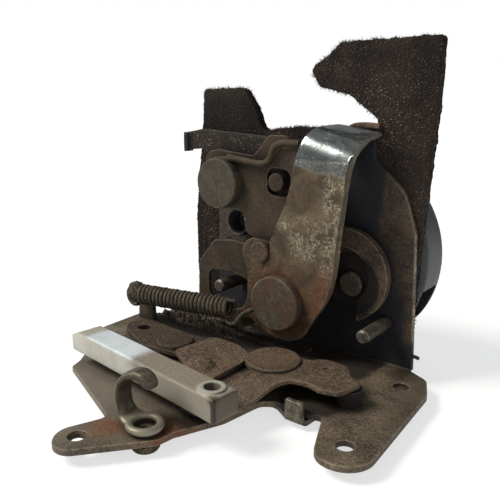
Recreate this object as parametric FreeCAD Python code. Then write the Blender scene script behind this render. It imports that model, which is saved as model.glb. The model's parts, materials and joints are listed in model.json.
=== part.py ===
import FreeCAD, Part
import math
import os

# Rotary door latch with its release, lock and transfer levers, in millimetres.
# Design frame: X runs along the wall plate, Y from the levers towards the outer drum,
# Z up. The wall plate's front face is y = 0 and the base plate's top face is z = 0.
# Everything is shifted at the end so that the front ear's hole is the origin.

V = FreeCAD.Vector

# ---- driving dimensions ---------------------------------------------------------
SHEET = 2.0               # frame sheet thickness
LEVER = 1.6               # thickness of the stamped levers on the wall side
LINK = 1.8                # thickness of the levers that lie over the base plate
RELEASE_THICK = 1.9       # thickness of the release lever
FIT = 0.05                # radial clearance of every running fit
EDGE = 0.35               # rounding of stamped edges

FRONT_EAR = (5.0, -52.2)  # screw hole in the front ear, and the part's origin
SIDE_EAR = (2.1, -12.3)
ARM_EAR = (-53.2, -93.4)
EAR_HOLE_R = 2.5

SPINDLE = (-21.5, 27.0)   # axis of the rotary catch, x and z
SPINDLE_R = 4.2
DRUM = (-37.0, 33.0)      # middle of the round housing, x and z
DRUM_R = 36.5
DRUM_FRONT = 6.0
DRUM_BACK = 21.5
DRUM_SKIN = 2.0
NECK_R = 23.5             # neck of the housing, through the foam to the wall plate
FOAM = (SHEET, 5.6)       # front and back face of the foam gasket
MOUTH_Z = (13.0, 25.0)    # striker mouth in the housing's rim
MOUTH_END = -27.0

LOWER_RIVET = (-42.0, 19.5)
UPPER_RIVET = (-72.3, 57.0)
RIVET_HEAD_R = 9.6
UPPER_HEAD_R = 9.1
PIVOT_R = 4.0
HUB_R = 6.4

# Front faces of the layers of levers, counted towards the viewer (negative Y).
RATCHET_Y = -5.2
STRIP_Y = -4.6
PAWL_Y = -8.2
GUIDE_Y = -8.2
BRIDGE_Y = -11.4
TRIP_Y = -13.4
LIFT_Y = -15.2
RELEASE_Y = -17.2
HEAD_Y = -20.8
UPPER_HEAD_Y = -15.5

FLAT_RIVET = (-32.2, -33.6)
CRUST_RIVET = (-71.3, -38.6)
DOME_RIVET = (-49.4, -49.3)
BAR_HOLE = (-27.5, -67.7) # open hole in the bar's right end
BAR_PIN = (-36.0, -65.3)
CLIP = (-41.2, -80.0)

INSIDE_TOP = 3.4          # top of the inside lever beside its pivot
WING_TOP = 7.5            # top of its raised wing
TRANSFER_TOP = 5.4
LINK_TOP = 3.4
FLAT_HEAD = (5.6, 7.2)    # underside and top of the flat rivet's head
BAR_Z = (4.5, 12.0)
BAR_TURN = -5.3           # the bar's angle from X, degrees

LOCK_PIN = (-47.6, 59.5)
PAWL_PIN = (-50.2, 35.8)
STOP_PIN = (-10.1, 14.7)
STOP_PIN_R = 2.2
STUD = (-71.0, 18.5)
BOSS = (-69.4, 41.7)
BOSS_R = (3.7, 5.2)


# ---- geometry helpers -----------------------------------------------------------
def outline(corners):
    """Closed wire in XY through corners (x, y) or (x, y, radius)."""
    points = [V(c[0], c[1], 0) for c in corners]
    radii = [c[2] if len(c) > 2 else 0.0 for c in corners]
    ends = []
    for i, here in enumerate(points):
        back = (points[i - 1] - here).normalize()
        ahead = (points[(i + 1) % len(points)] - here).normalize()
        half = back.getAngle(ahead) / 2
        setback = radii[i] / math.tan(half)
        middle = here
        if radii[i]:
            middle = here + (back + ahead).normalize() * (radii[i] / math.sin(half) - radii[i])
        ends.append((here + back * setback, middle, here + ahead * setback))
    edges = []
    for i, (start, middle, end) in enumerate(ends):
        before = ends[i - 1][2]
        if (start - before).dot(points[i] - points[i - 1]) < 0:
            raise ValueError("the rounding is too large at corner %d %s" % (i, corners[i]))
        if before.distanceToPoint(start) > 1e-4:
            edges.append(Part.LineSegment(before, start).toShape())
        if radii[i]:
            edges.append(Part.Arc(start, middle, end).toShape())
    return Part.Wire(Part.__sortEdges__(edges))


def soften(shape, radius=EDGE):
    """Round the edges of a stamping's two broad faces, where the rounding holds."""
    box = shape.BoundBox
    rims = [e for e in shape.Edges if e.BoundBox.ZLength < 1e-4 and
            min(abs(e.BoundBox.ZMin - box.ZMin), abs(e.BoundBox.ZMin - box.ZMax)) < 1e-4]
    try:
        rounded = shape.makeFillet(radius, rims)
    except Part.OCCError:
        return shape
    return rounded if rounded.isValid() and rounded.Volume > 0 else shape


def blank(corners, thick, holes=(), rim=EDGE):
    """Flat stamping with z from 0 to thick; holes are (x, y, radius)."""
    shape = Part.Face(outline(corners)).extrude(V(0, 0, thick))
    for x, y, r in holes:
        shape = shape.cut(Part.makeCylinder(r, 3 * thick, V(x, y, -thick)))
    return soften(shape, rim) if rim else shape


def lying(corners, top, thick, holes=(), rim=EDGE):
    """Stamping parallel to the base plate, with its upper face at z = top."""
    shape = blank(corners, thick, holes, rim)
    shape.translate(V(0, 0, top - thick))
    return shape


def standing(corners, front, thick, holes=(), rim=EDGE):
    """Stamping parallel to the wall plate; corners are (x, z), front is its viewer-side y."""
    shape = blank(corners, thick, holes, rim)
    shape.rotate(V(0, 0, 0), V(1, 0, 0), 90)
    shape.translate(V(0, front + thick, 0))
    return shape


def rod_y(centre, radius, front, back):
    """Cylinder along Y between two depths, about (x, z)."""
    return Part.makeCylinder(radius, back - front, V(centre[0], front, centre[1]), V(0, 1, 0))


def rod_z(centre, radius, low, high):
    """Cylinder along Z between two heights, about (x, y)."""
    return Part.makeCylinder(radius, high - low, V(centre[0], centre[1], low))


def ring_y(centre, inner, outer, front, back):
    return rod_y(centre, outer, front, back).cut(rod_y(centre, inner, front - 1, back + 1))


def ring_z(centre, inner, outer, low, high):
    return rod_z(centre, outer, low, high).cut(rod_z(centre, inner, low - 1, high + 1))


def block(low, high):
    return Part.makeBox(high[0] - low[0], high[1] - low[1], high[2] - low[2], V(*low))


def fused(first, *others):
    """One solid from pieces that overlap, with the seams between them removed."""
    return first.multiFuse(list(others)).removeSplitter()


def polar(centre, radius, degrees):
    """Point on a circle; degrees run from +X towards the second axis."""
    a = math.radians(degrees)
    return (centre[0] + radius * math.cos(a), centre[1] + radius * math.sin(a))


# ---- fixed frame ----------------------------------------------------------------
def base_plate():
    corners = [
        (0, 0), (6.8, -3.2, 4.5), (10.9, -12.6, 6), (14.4, -61.6, 8.5), (0.6, -61.6, 6.5),
        (-2.8, -54, 4), (-7.6, -43.2, 1.5), (-10.4, -44.4, 2), (-22, -44.6, 2),
        (-26.4, -47.6, 4), (-28.4, -62, 6), (-34.3, -76, 4), (-35, -81.5, 3),
        (-52.6, -103.2, 5.5), (-60.0, -95.3, 6), (-54.6, -81.8, 2.5),
        (-89.6, -68.6, 1.5), (-91.4, -64, 2), (-109.5, -39.5, 3), (-110, -20, 4),
        (-98, -10, 6), (-95, 0)]
    holes = [(*p, EAR_HOLE_R) for p in (FRONT_EAR, SIDE_EAR, ARM_EAR)]
    holes += [(*FLAT_RIVET, PIVOT_R + FIT), (*CRUST_RIVET, 3.0), (*DOME_RIVET, 2.5), (*CLIP, 2.2)]
    return lying(corners, 0, SHEET, holes, rim=0.3)


def wall_plate():
    corners = [
        (0, 0), (-2.2, 46, 14), (-6.6, 59, 12), (-17.8, 68.4, 3), (-18.6, 77, 2), (-40, 77, 4),
        (-44, 70, 3), (-84, 70, 3), (-84, 8, 2), (-93, 6, 3), (-95, 0)]
    holes = [(*SPINDLE, SPINDLE_R + FIT), (*LOWER_RIVET, PIVOT_R), (*UPPER_RIVET, PIVOT_R),
             (*STOP_PIN, STOP_PIN_R), (*STUD, 2.4), (*BOSS, BOSS_R[0])]
    return standing(corners, 0, SHEET, holes)


def foam_gasket():
    corners = [
        (-97.5, -2.0), (-98.4, 40, 3), (-94.2, 80, 3), (-94.0, 90, 2.5), (-73.4, 90.6, 5),
        (-67.6, 83, 3), (-64.6, 75.5, 3), (-50, 77.5, 3), (-32, 77.8, 2), (-16.5, 78.4, 1.5),
        (-22, 83, 2), (-30, 88.4, 3), (-41, 90.5, 2), (-45.4, 97, 2.5), (-38, 101, 2),
        (-33.6, 105.2, 2), (1.0, 106.2, 1.5), (1.1, 86, 3), (-1.4, 38, 4), (-2.6, -2.0)]
    holes = [(*DRUM, NECK_R + 0.3)]
    gasket = standing(corners, FOAM[0], FOAM[1] - FOAM[0], holes, rim=0)
    return gasket.cut(rod_y(BOSS, 6.0, 0, 10)).cut(rod_y(UPPER_RIVET, 6.0, 0, 10))


def rotor_housing():
    """Cup with a narrower neck; the striker mouth is cut through its rim."""
    body = rod_y(DRUM, DRUM_R, DRUM_FRONT, DRUM_BACK - DRUM_SKIN)
    rim = [e for e in body.Edges if abs(e.CenterOfMass.y - DRUM_FRONT) < 1e-3 and e.Length > 100]
    body = body.makeFillet(3.0, rim)
    neck = rod_y(DRUM, NECK_R, SHEET, DRUM_FRONT + 1)
    shell = fused(body, neck)
    shell = shell.cut(rod_y(DRUM, DRUM_R - DRUM_SKIN, DRUM_FRONT + DRUM_SKIN, DRUM_BACK))
    shell = shell.cut(rod_y(DRUM, NECK_R - DRUM_SKIN, SHEET - 1, DRUM_FRONT - 0.4))
    shell = shell.cut(rod_y(SPINDLE, SPINDLE_R + FIT, 0, DRUM_BACK))
    mouth = block((MOUTH_END, DRUM_FRONT + DRUM_SKIN, MOUTH_Z[0]), (5, DRUM_BACK + 1, MOUTH_Z[1]))
    shell = shell.cut(mouth)
    for x, z in cover_rivet_places():
        shell = shell.fuse(rod_y((x, z), 3.2, DRUM_FRONT + DRUM_SKIN - 0.2, DRUM_BACK - DRUM_SKIN))
    return shell.removeSplitter()


def cover_rivet_places():
    return [polar(DRUM, DRUM_R - 5.0, a) for a in (95, 190, 285)]


def housing_cover():
    """Disc that closes the back of the drum."""
    disc = rod_y(DRUM, DRUM_R, DRUM_BACK - DRUM_SKIN, DRUM_BACK)
    rim = [e for e in disc.Edges if abs(e.CenterOfMass.y - DRUM_BACK) < 1e-3 and e.Length > 100]
    disc = disc.makeFillet(1.2, rim)
    for x, z in cover_rivet_places():
        disc = disc.cut(rod_y((x, z), 1.8, 0, DRUM_BACK + 1))
    return disc.cut(rod_y(SPINDLE, 3.0 + FIT, 0, DRUM_BACK + 1))


def cover_rivets():
    """Three short rivets that hold the cover, as separate solids in one node."""
    solids = []
    for x, z in cover_rivet_places():
        head = rod_y((x, z), 3.0, DRUM_BACK, DRUM_BACK + 1.2)
        solids.append(fused(head, rod_y((x, z), 1.8, DRUM_BACK - DRUM_SKIN, DRUM_BACK + 0.5)))
    return Part.makeCompound(solids)


def round_rivet_y(centre, head_r, front, head_thick, back):
    """Big flat-headed rivet through the wall plate; its shank is the levers' pivot."""
    head = rod_y(centre, head_r, front, front + head_thick)
    outer = [e for e in head.Edges if abs(e.CenterOfMass.y - front) < 1e-3]
    return fused(head.makeFillet(0.7, outer), rod_y(centre, PIVOT_R, front + 1, back))


def lower_rivet():
    return fused(round_rivet_y(LOWER_RIVET, RIVET_HEAD_R, HEAD_Y, 3.4, SHEET),
                 rod_y(LOWER_RIVET, 5.0, -2.2, 0))


def upper_rivet():
    head_thick = BRIDGE_Y - UPPER_HEAD_Y
    return fused(round_rivet_y(UPPER_RIVET, UPPER_HEAD_R, UPPER_HEAD_Y, head_thick, SHEET),
                 rod_y(UPPER_RIVET, 6.2, -2.8, 0))


def bridge_spacer():
    """Sleeve on the upper rivet that carries the fixed bridge clear of the lock levers."""
    return ring_y(UPPER_RIVET, PIVOT_R, 6.2, BRIDGE_Y + LEVER, GUIDE_Y - 0.2)


def bridge_plate():
    """Fixed plate under the upper rivet's head; its top edge is folded and waved."""
    corners = [
        (-82, 57, 9), (-79, 65.5, 6), (-71, 66.6, 4), (-54.5, 65.2, 4), (-49.8, 67, 2.5),
        (-48, 73.4, 4), (-39, 73.8, 2), (-31, 71.5, 3), (-31, 40, 4), (-55, 37.6, 3),
        (-61.6, 40, 3), (-62.6, 48, 4), (-70, 47.6, 5), (-80, 48, 6)]
    plate = standing(corners, BRIDGE_Y, LEVER, [(*UPPER_RIVET, PIVOT_R)])
    window = block((-52.2, -20, 54.6), (-42.4, 0, 64.2))
    window = window.makeFillet(3.2, [e for e in window.Edges if abs(e.Length - 20) < 1e-3])
    fold = [
        (-70, 67.6, 0.9), (-70, 65.2, 0.9), (-54.5, 64.0, 3), (-50, 65.6, 2), (-46.9, 70.6, 2.5),
        (-38.5, 71.9, 0.9), (-38.8, 74.0, 0.9), (-48.5, 73.8, 4), (-50.6, 67.6, 2.5), (-55, 66, 4)]
    lip = standing(fold, BRIDGE_Y - 1.0, LEVER, rim=0.5)
    feet = [rod_y((-36, z), 2.6, BRIDGE_Y + LEVER / 2, 0) for z in (46, 66)]
    head = rod_y(UPPER_RIVET, UPPER_HEAD_R + 0.1, UPPER_HEAD_Y, BRIDGE_Y)
    return fused(plate.cut(window), lip.cut(head), *feet)


def mounting_boss():
    """Tapped boss pressed into the wall plate for a door screw."""
    tube = rod_y(BOSS, BOSS_R[1], -6.5, 0)
    tube = tube.makeFillet(0.7, [e for e in tube.Edges if abs(e.CenterOfMass.y + 6.5) < 1e-3])
    return tube.cut(rod_y(BOSS, BOSS_R[0], -10, 10))


def pin_y(centre, radius, front, back, collar=None):
    """Plain pin set in the wall plate, with a small chamfer on its free end."""
    pin = rod_y(centre, radius, front, back)
    pin = pin.makeChamfer(0.5, [e for e in pin.Edges if abs(e.CenterOfMass.y - front) < 1e-3])
    return fused(pin, rod_y(centre, collar, -1.2, 0)) if collar else pin


def spring_post():
    """Tab that stands up from the base plate and anchors the tension spring."""
    corners = [(-107.2, 0), (-106.2, 13.2, 1.5), (-99.2, 12.6, 1.5), (-98.4, 0)]
    return standing(corners, -23.5, SHEET, [(-102.6, 9.6, 1.3)])


# ---- rotary catch ---------------------------------------------------------------
def spindle():
    """Shaft of the catch, riveted over at the ratchet end and turned down at the cover."""
    shaft = rod_y(SPINDLE, SPINDLE_R, RATCHET_Y - 0.4, DRUM_BACK - DRUM_SKIN - 0.1)
    end = [e for e in shaft.Edges if abs(e.CenterOfMass.y - RATCHET_Y + 0.4) < 1e-3]
    stub = rod_y(SPINDLE, 3.0, DRUM_BACK - DRUM_SKIN - 1, DRUM_BACK + 0.6)
    return fused(shaft.makeChamfer(0.6, end), stub)


def fork_bolt():
    """Rotary catch in the drum: a disc with a jaw that swallows the striker."""
    x, z = SPINDLE
    disc = rod_y(SPINDLE, 15.0, 10.0, 15.0)
    jaw = block((x + 1.5, 5, z - 12.5), (x + 20, 20, z - 4.5))
    jaw_end = rod_y((x + 1.5, z - 8.5), 4.0, 5, 20)
    notch = block((x - 18, 5, z + 4), (x - 11, 20, z + 12))
    bolt = disc.cut(jaw).cut(jaw_end).cut(notch)
    return bolt.cut(rod_y(SPINDLE, SPINDLE_R, 0, 25)).removeSplitter()


def ratchet_plate():
    """Dished plate on the spindle: a raised C-shaped rim on a thin web."""
    middle = (-24.5, 29.8)
    rim = ring_y(middle, 9.6, 16.2, RATCHET_Y, RATCHET_Y + 2.6)
    rim = rim.cut(block((-45, RATCHET_Y - 1, 5), (-18.5, 0, 21.5)))
    web = rod_y(middle, 11.0, RATCHET_Y + 2.0, RATCHET_Y + 3.4)
    hub = rod_y(SPINDLE, 6.0, RATCHET_Y + 2.0, -0.4)
    return fused(rim, web, hub).cut(rod_y(SPINDLE, SPINDLE_R, -20, 20))


def catch_spring():
    """Closed coil round the spindle that throws the catch open; it has two short legs."""
    x, z = SPINDLE
    coil = ring_y(SPINDLE, SPINDLE_R + 0.3, 5.7, 15.6, 18.6)
    return fused(coil, block((x - 15.0, 17.2, z + 4.4), (x + 0.5, 18.4, z + 5.6)))


# ---- pawl and release -----------------------------------------------------------
def pawl():
    """Detent on the lower rivet; its tooth reaches back to the ratchet's rim."""
    corners = [
        (-48.6, 13.6, 5), (-49.5, 24, 5), (-47.5, 33.6, 3), (-39.6, 33.8, 3), (-35.4, 24, 5),
        (-35.4, 13.6, 5)]
    plate = standing(corners, PAWL_Y, LEVER, [(*LOWER_RIVET, PIVOT_R + FIT)])
    tooth = block((-45.6, PAWL_Y + 0.4, 27.2), (-43.0, RATCHET_Y + 3.0, 31.8))
    return fused(plate, tooth)


def pawl_hub():
    """Sleeve that keys the detent to the lift plate."""
    return ring_y(LOWER_RIVET, PIVOT_R + FIT, HUB_R, LIFT_Y + LEVER, PAWL_Y)


def lift_plate():
    """Rust-red plate keyed to the detent; it carries the lift pin and the spring's ledge."""
    corners = [
        (-60.6, 35.4, 4.2), (-56.5, 39.6, 4.2), (-46, 39.0, 5), (-33, 30, 8), (-30, 14, 9),
        (-36, 6.4, 7), (-48, 5.2, 6), (-55.5, 9.2, 2.5), (-63.8, 8.6, 0.8), (-64, 10.8, 0.8),
        (-59.4, 12.6, 2), (-57.6, 17, 5), (-57.4, 26, 8)]
    return standing(corners, LIFT_Y, LEVER, [(*LOWER_RIVET, PIVOT_R + FIT), (*PAWL_PIN, 2.0)])


def pawl_pin():
    """Pin that the release lever pushes against."""
    head = rod_y(PAWL_PIN, 3.7, LIFT_Y - 3.2, LIFT_Y)
    head = head.makeFillet(0.6, [e for e in head.Edges if abs(e.CenterOfMass.y - LIFT_Y + 3.2) < 1e-3])
    return fused(head, rod_y(PAWL_PIN, 2.0, LIFT_Y - 1, LIFT_Y + LEVER))


def trip_plate():
    """Grey plate behind the lift plate, with a window round the stop stud."""
    corners = [
        (-33.6, 13, 7), (-34, 26, 7), (-46, 31.5, 4), (-52, 35.6, 3), (-66, 36.8, 4), (-75, 35.5, 4),
        (-82.6, 26, 4), (-83.4, 6, 4), (-62, 3.4, 5), (-48, 11, 3), (-40, 11.2, 5)]
    window = [
        (-77.6, 15, 3), (-77.8, 23.6, 3.2), (-66.5, 24.8, 3), (-58.4, 22.8, 2), (-58.6, 15.4, 3),
        (-64.2, 8.4, 3), (-72, 8.2, 3)]
    plate = Part.Face(outline(corners)).extrude(V(0, 0, LEVER))
    plate = plate.cut(Part.Face(outline(window)).extrude(V(0, 0, LEVER)))
    plate = soften(plate.cut(Part.makeCylinder(HUB_R + FIT, 9, V(*LOWER_RIVET, -3))))
    plate.rotate(V(0, 0, 0), V(1, 0, 0), 90)
    plate.translate(V(0, TRIP_Y + LEVER, 0))
    return plate


def release_lever():
    """Plated lever: a tapering blade whose top is bent back over the mechanism."""
    thick = RELEASE_THICK
    blade = [
        (-35.0, 76.5), (-37.2, 68.4, 3), (-38.8, 57, 6), (-46.4, 41, 4.5), (-46.0, 35.5, 4), (-50.5, 27, 7),
        (-51.8, 13, 9), (-40, 6.4, 9), (-29.5, 13, 9), (-21.6, 27.5, 12), (-18.0, 69.5)]
    plate = standing(blade, RELEASE_Y, thick, [(*LOWER_RIVET, PIVOT_R + FIT)], rim=0)
    front = [V(-35.0, RELEASE_Y, 76.5), V(-18.0, RELEASE_Y, 69.5)]
    rear = [V(-31.0, -0.5, 79.2), V(-15.6, -0.5, 77.4)]
    sections = []
    for left, right in (front, rear):
        down = V(0, 1, 0).cross(right - left).normalize() * thick
        sections.append(Part.makePolygon([left, right, right + down, left + down, left]))
    lever = fused(plate, Part.makeLoft(sections, True, True))
    bend = [e for e in lever.Edges if e.Length > 16 and abs(e.CenterOfMass.y - RELEASE_Y) < 0.3
            and e.CenterOfMass.z > 70]
    return lever.makeFillet(1.6, bend)


# ---- locking levers -------------------------------------------------------------
def lock_lever():
    """Strip lever on the upper rivet; its upturned tab at the left takes the lock rod."""
    corners = [
        (-97.0, 66.4, 1.6), (-88.5, 67.8, 2), (-83.5, 65.5, 4), (-82.6, 50, 6), (-64, 47.5, 7),
        (-61, 58, 5), (-48, 61, 3), (-47, 72.4, 3), (-62, 74.2, 3), (-88, 75.2, 3), (-96.8, 73.6, 1.6)]
    strip = standing(corners, STRIP_Y, LEVER, [(*UPPER_RIVET, PIVOT_R + FIT)])
    tab = block((-97.2, STRIP_Y - 1.2, 66.2), (-95.4, STRIP_Y + LEVER + 1.0, 73.6))
    return fused(strip, tab)


def lock_plate():
    """Second lock plate in front of the strip; the lock pin is fixed in it."""
    corners = [
        (-83, 57, 8), (-83.5, 67.2, 3), (-77, 68.4, 3), (-61.0, 67.2, 3), (-57.4, 70.8, 3),
        (-54.5, 74.8, 3),
        (-47, 74.9, 3), (-43, 70, 3), (-42.6, 54.8, 4), (-55, 53, 4), (-63.5, 49.5, 6), (-80, 48.5, 6)]
    return standing(corners, GUIDE_Y, LEVER, [(*UPPER_RIVET, PIVOT_R + FIT), (*LOCK_PIN, 2.2)])


def lock_pin():
    head = rod_y(LOCK_PIN, 3.1, BRIDGE_Y - 1.6, GUIDE_Y)
    head = head.makeFillet(0.5, [e for e in head.Edges if abs(e.CenterOfMass.y - BRIDGE_Y + 1.6) < 1e-3])
    return fused(head, rod_y(LOCK_PIN, 2.2, GUIDE_Y - 1, GUIDE_Y + LEVER))


def lock_hub():
    """Sleeve that keys the strip lever to the lock plate on the upper rivet."""
    return ring_y(UPPER_RIVET, PIVOT_R + FIT, 6.2, GUIDE_Y + LEVER, STRIP_Y)


# ---- levers over the base plate -------------------------------------------------
def inside_lever():
    """Lever on the flat rivet: a blade with a tongue under the bar, and a raised wing."""
    blade = [
        (-44.6, -32.4, 3), (-42.0, -52, 4), (-41.0, -68.6, 3.2), (-31.4, -68.8, 3.2), (-30.4, -62.8, 1),
        (-24.6, -59.4, 1.5), (-21.4, -41.2, 1), (-21.4, -25, 4), (-40, -24.5, 5)]
    wing = [
        (-20.4, -42.4, 0.5), (-14.6, -41.2, 2), (-9.6, -42.2, 3), (-4.2, -40.6, 3), (-1.6, -31.2, 2),
        (-6.4, -29.4, 2), (-10.8, -23.4, 3), (-17.6, -23.4, 3), (-22.6, -27.6, 1), (-22.6, -40.6, 1)]
    low = lying(blade, INSIDE_TOP, LINK, rim=0)
    high = lying(wing, WING_TOP, LINK, [(-14.5, -29.6, 1.0)], rim=0)
    step = [(-23, -40.0), (-21.5, -40.0), (-21.5, -28), (-23, -28)]
    riser = lying(step, WING_TOP - 0.4, WING_TOP - INSIDE_TOP + LINK - 0.8, rim=0)
    return fused(low, high, riser).cut(rod_z(FLAT_RIVET, PIVOT_R, -5, 20))


def flat_rivet():
    """Pivot that carries the inside lever above the plate and the lug lever below it."""
    low, high = FLAT_HEAD
    head = rod_z(FLAT_RIVET, 8.9, low, high)
    head = head.makeFillet(0.6, [e for e in head.Edges if abs(e.CenterOfMass.z - high) < 1e-3])
    collar = rod_z(FLAT_RIVET, 6.4, INSIDE_TOP, low + 0.5)
    tail = rod_z(FLAT_RIVET, 5.6, -SHEET - 3.4, -SHEET - 2.2)
    return fused(head, collar, rod_z(FLAT_RIVET, PIVOT_R, -SHEET - 3, INSIDE_TOP + 1), tail)


def inside_spacer():
    """Washer between the base plate and the inside lever."""
    return ring_z(FLAT_RIVET, PIVOT_R + FIT, 7.0, 0, INSIDE_TOP - LINK - 0.1)


def lug_lever():
    """Zinc-yellow lever below the base plate, with a stop lug at the plate's front edge."""
    corners = [
        (-40, -34, 6.5), (-32, -25, 6.5), (-11, -35.2, 2.5), (-11.6, -45.4, 1), (-19, -45.4, 1),
        (-24, -42.6, 2), (-38, -42, 6)]
    plate = lying(corners, -SHEET - 0.2, SHEET, [(*FLAT_RIVET, PIVOT_R)])
    top = 3.4
    lug = block((-18.4, -47.0, -SHEET - 1.0), (-12.2, -45.0, top))
    lug = lug.makeFillet(0.7, [e for e in lug.Edges if e.CenterOfMass.z > 0])
    return fused(plate, lug)


def lever_bush():
    """Stop bush under the inside lever's wing."""
    return ring_z((-5.4, -32.6), 1.6, 3.9, 0, WING_TOP - LINK - 0.3)


def transfer_lever():
    """Crusted lever on the dome rivet, above the inside lever's blade."""
    corners = [
        (-61.4, -28.8, 3), (-50.4, -29.2, 3), (-43.6, -31.8, 3), (-40.2, -36.2, 3), (-40.4, -54.6, 2.5),
        (-46, -55.4, 4), (-64, -45.8, 2)]
    return lying(corners, TRANSFER_TOP, LINK, [(*DOME_RIVET, 2.5 + FIT)])


def dome_rivet():
    """Domed pivot of the transfer lever, with the step that holds it at its height."""
    dome = Part.makeSphere(6.2, V(*DOME_RIVET, TRANSFER_TOP - 3.6)).common(
        rod_z(DOME_RIVET, 5.0, TRANSFER_TOP + 0.1, TRANSFER_TOP + 5))
    step = rod_z(DOME_RIVET, 4.2, 0, TRANSFER_TOP - LINK - 0.1)
    return fused(dome, step, rod_z(DOME_RIVET, 2.5, -SHEET, TRANSFER_TOP + 0.6))


def lock_link():
    """Left lever on the crusted rivet; its open hole takes a rod from outside."""
    corners = [
        (-99.4, -35.2, 2.5), (-95.0, -28.4, 3), (-82, -29.6, 6), (-72.4, -31.2, 5), (-63.0, -27.0, 3),
        (-58.0, -33, 3), (-61, -43.6, 3), (-79, -46.6, 4), (-95.2, -40.2, 3)]
    return lying(corners, LINK_TOP, LINK, [(*CRUST_RIVET, 3.0 + FIT), (-90.6, -35.2, 2.4)])


def crust_rivet():
    head = rod_z(CRUST_RIVET, 6.6, LINK_TOP + 0.1, LINK_TOP + 1.5)
    head = head.makeFillet(0.8, [e for e in head.Edges if abs(e.CenterOfMass.z - LINK_TOP - 1.5) < 1e-3])
    step = rod_z(CRUST_RIVET, 5.6, 0, LINK_TOP - LINK - 0.1)
    return fused(head, step, rod_z(CRUST_RIVET, 3.0, -SHEET, LINK_TOP + 1))


# ---- bar and rod clip -----------------------------------------------------------
def turned(shape, centre, degrees):
    """The shape turned about the vertical through a point of the base plate."""
    shape.rotate(V(centre[0], centre[1], 0), V(0, 0, 1), degrees)
    return shape


def nylon_bar():
    """Nylon pull bar; a raised ring surrounds the open hole at its right end."""
    x, y = BAR_HOLE
    low, high = BAR_Z
    bar = block((x - 64.2, y - 4.7, low), (x + 5.2, y + 4.7, high))
    bar = bar.makeFillet(0.9, [e for e in bar.Edges if e.Length > 9])
    nose = block((x - 70, y - 6, high), (x - 60, y + 6, high + 6))
    nose.rotate(V(x - 60, y, high), V(0, 1, 0), -24)
    bar = fused(bar.cut(nose), rod_z(BAR_HOLE, 3.9, high - 1, high + 0.7))
    bar = turned(bar.cut(rod_z(BAR_HOLE, 2.3, low - 1, high + 2)), BAR_HOLE, BAR_TURN)
    return bar.cut(rod_z(BAR_PIN, 2.2 + FIT, low - 1, low + 4))


def bar_pin():
    """Stud on the inside lever's tongue; the bar is snapped over it."""
    collar = rod_z(BAR_PIN, 3.2, INSIDE_TOP, BAR_Z[0] - 0.1)
    return fused(collar, rod_z(BAR_PIN, 2.2, INSIDE_TOP, BAR_Z[0] + 3.6))


def rod_clip():
    """Strip bent into a hook, with a rounded ring for its eyelet."""
    y = CLIP[1]
    ring = rod_z(CLIP, 5.7, 0.2, 2.8)
    ring = ring.makeFillet(1.1, [e for e in ring.Edges if e.Length > 30])
    hook = [
        (-52.0, 0.2, 1.8), (-53.0, 10.6, 5), (-46.6, 17.6, 5), (-38.4, 18.6, 2.0), (-37.6, 13.4, 1.6),
        (-43.2, 14.0, 3), (-49.4, 10.4, 4), (-49.6, 2.8, 2), (-43, 2.8), (-43, 0.2)]
    return fused(ring, standing(hook, y, 5.2, rim=0.5)).cut(rod_z(CLIP, 3.2 + FIT, -3, 10))


def clip_eyelet():
    """Hollow rivet that holds the clip and tails out below the arm."""
    body = rod_z(CLIP, 2.2, -SHEET, 3.2)
    lip = rod_z(CLIP, 3.2, 0, 3.2)
    tail = Part.makeCone(2.6, 4.2, 3.4, V(*CLIP, -SHEET - 3.4))
    return fused(body, lip, tail).cut(rod_z(CLIP, 1.5, -10, 10))


# ---- tension spring -------------------------------------------------------------
def tension_spring():
    """Close-wound spring as a plain envelope, with a hook at each end."""
    left, right = V(-103.8, -29.3, 12.7), V(-62.2, -21.4, 13.8)
    along = right - left
    coil = Part.makeCylinder(3.8, along.Length, left, along)
    bend = right + V(3.6, 0.6, -2.2)
    wires = [Part.makeCylinder(0.8, (bend - right).Length + 0.4, right - V(0.3, 0, 0), bend - right),
             Part.makeCylinder(0.8, 4.3, bend, V(0.15, 1, -0.1)), Part.makeSphere(0.8, bend)]
    tail = V(-102.6, -27.2, 9.6)
    wires.append(Part.makeCylinder(0.8, 6.2, tail, V(0, 1, 0)))
    return fused(coil, *wires)


# ---- assembly -------------------------------------------------------------------
def parts():
    wall_pins = {
        "stop_pin": pin_y(STOP_PIN, STOP_PIN_R, -17.0, SHEET),
        "stop_stud": pin_y(STUD, 2.4, -15.4, SHEET, collar=4.0)}
    made = {
        "base_plate": base_plate(), "wall_plate": wall_plate(), "foam_gasket": foam_gasket(),
        "rotor_housing": rotor_housing(), "housing_cover": housing_cover(), "cover_rivets": cover_rivets(),
        "lower_rivet": lower_rivet(), "upper_rivet": upper_rivet(), "bridge_spacer": bridge_spacer(),
        "bridge_plate": bridge_plate(), "mounting_boss": mounting_boss(), "spring_post": spring_post(),
        "spindle": spindle(), "fork_bolt": fork_bolt(), "ratchet_plate": ratchet_plate(),
        "catch_spring": catch_spring(), "pawl": pawl(), "pawl_hub": pawl_hub(), "lift_plate": lift_plate(),
        "pawl_pin": pawl_pin(), "trip_plate": trip_plate(), "release_lever": release_lever(),
        "lock_lever": lock_lever(), "lock_plate": lock_plate(), "lock_pin": lock_pin(),
        "lock_hub": lock_hub(),
        "inside_lever": inside_lever(), "flat_rivet": flat_rivet(), "inside_spacer": inside_spacer(),
        "lug_lever": lug_lever(), "lever_bush": lever_bush(), "transfer_lever": transfer_lever(),
        "dome_rivet": dome_rivet(), "lock_link": lock_link(), "crust_rivet": crust_rivet(),
        "nylon_bar": nylon_bar(), "bar_pin": bar_pin(), "rod_clip": rod_clip(),
        "clip_eyelet": clip_eyelet(),
        "tension_spring": tension_spring()}
    made.update(wall_pins)
    return made


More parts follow.
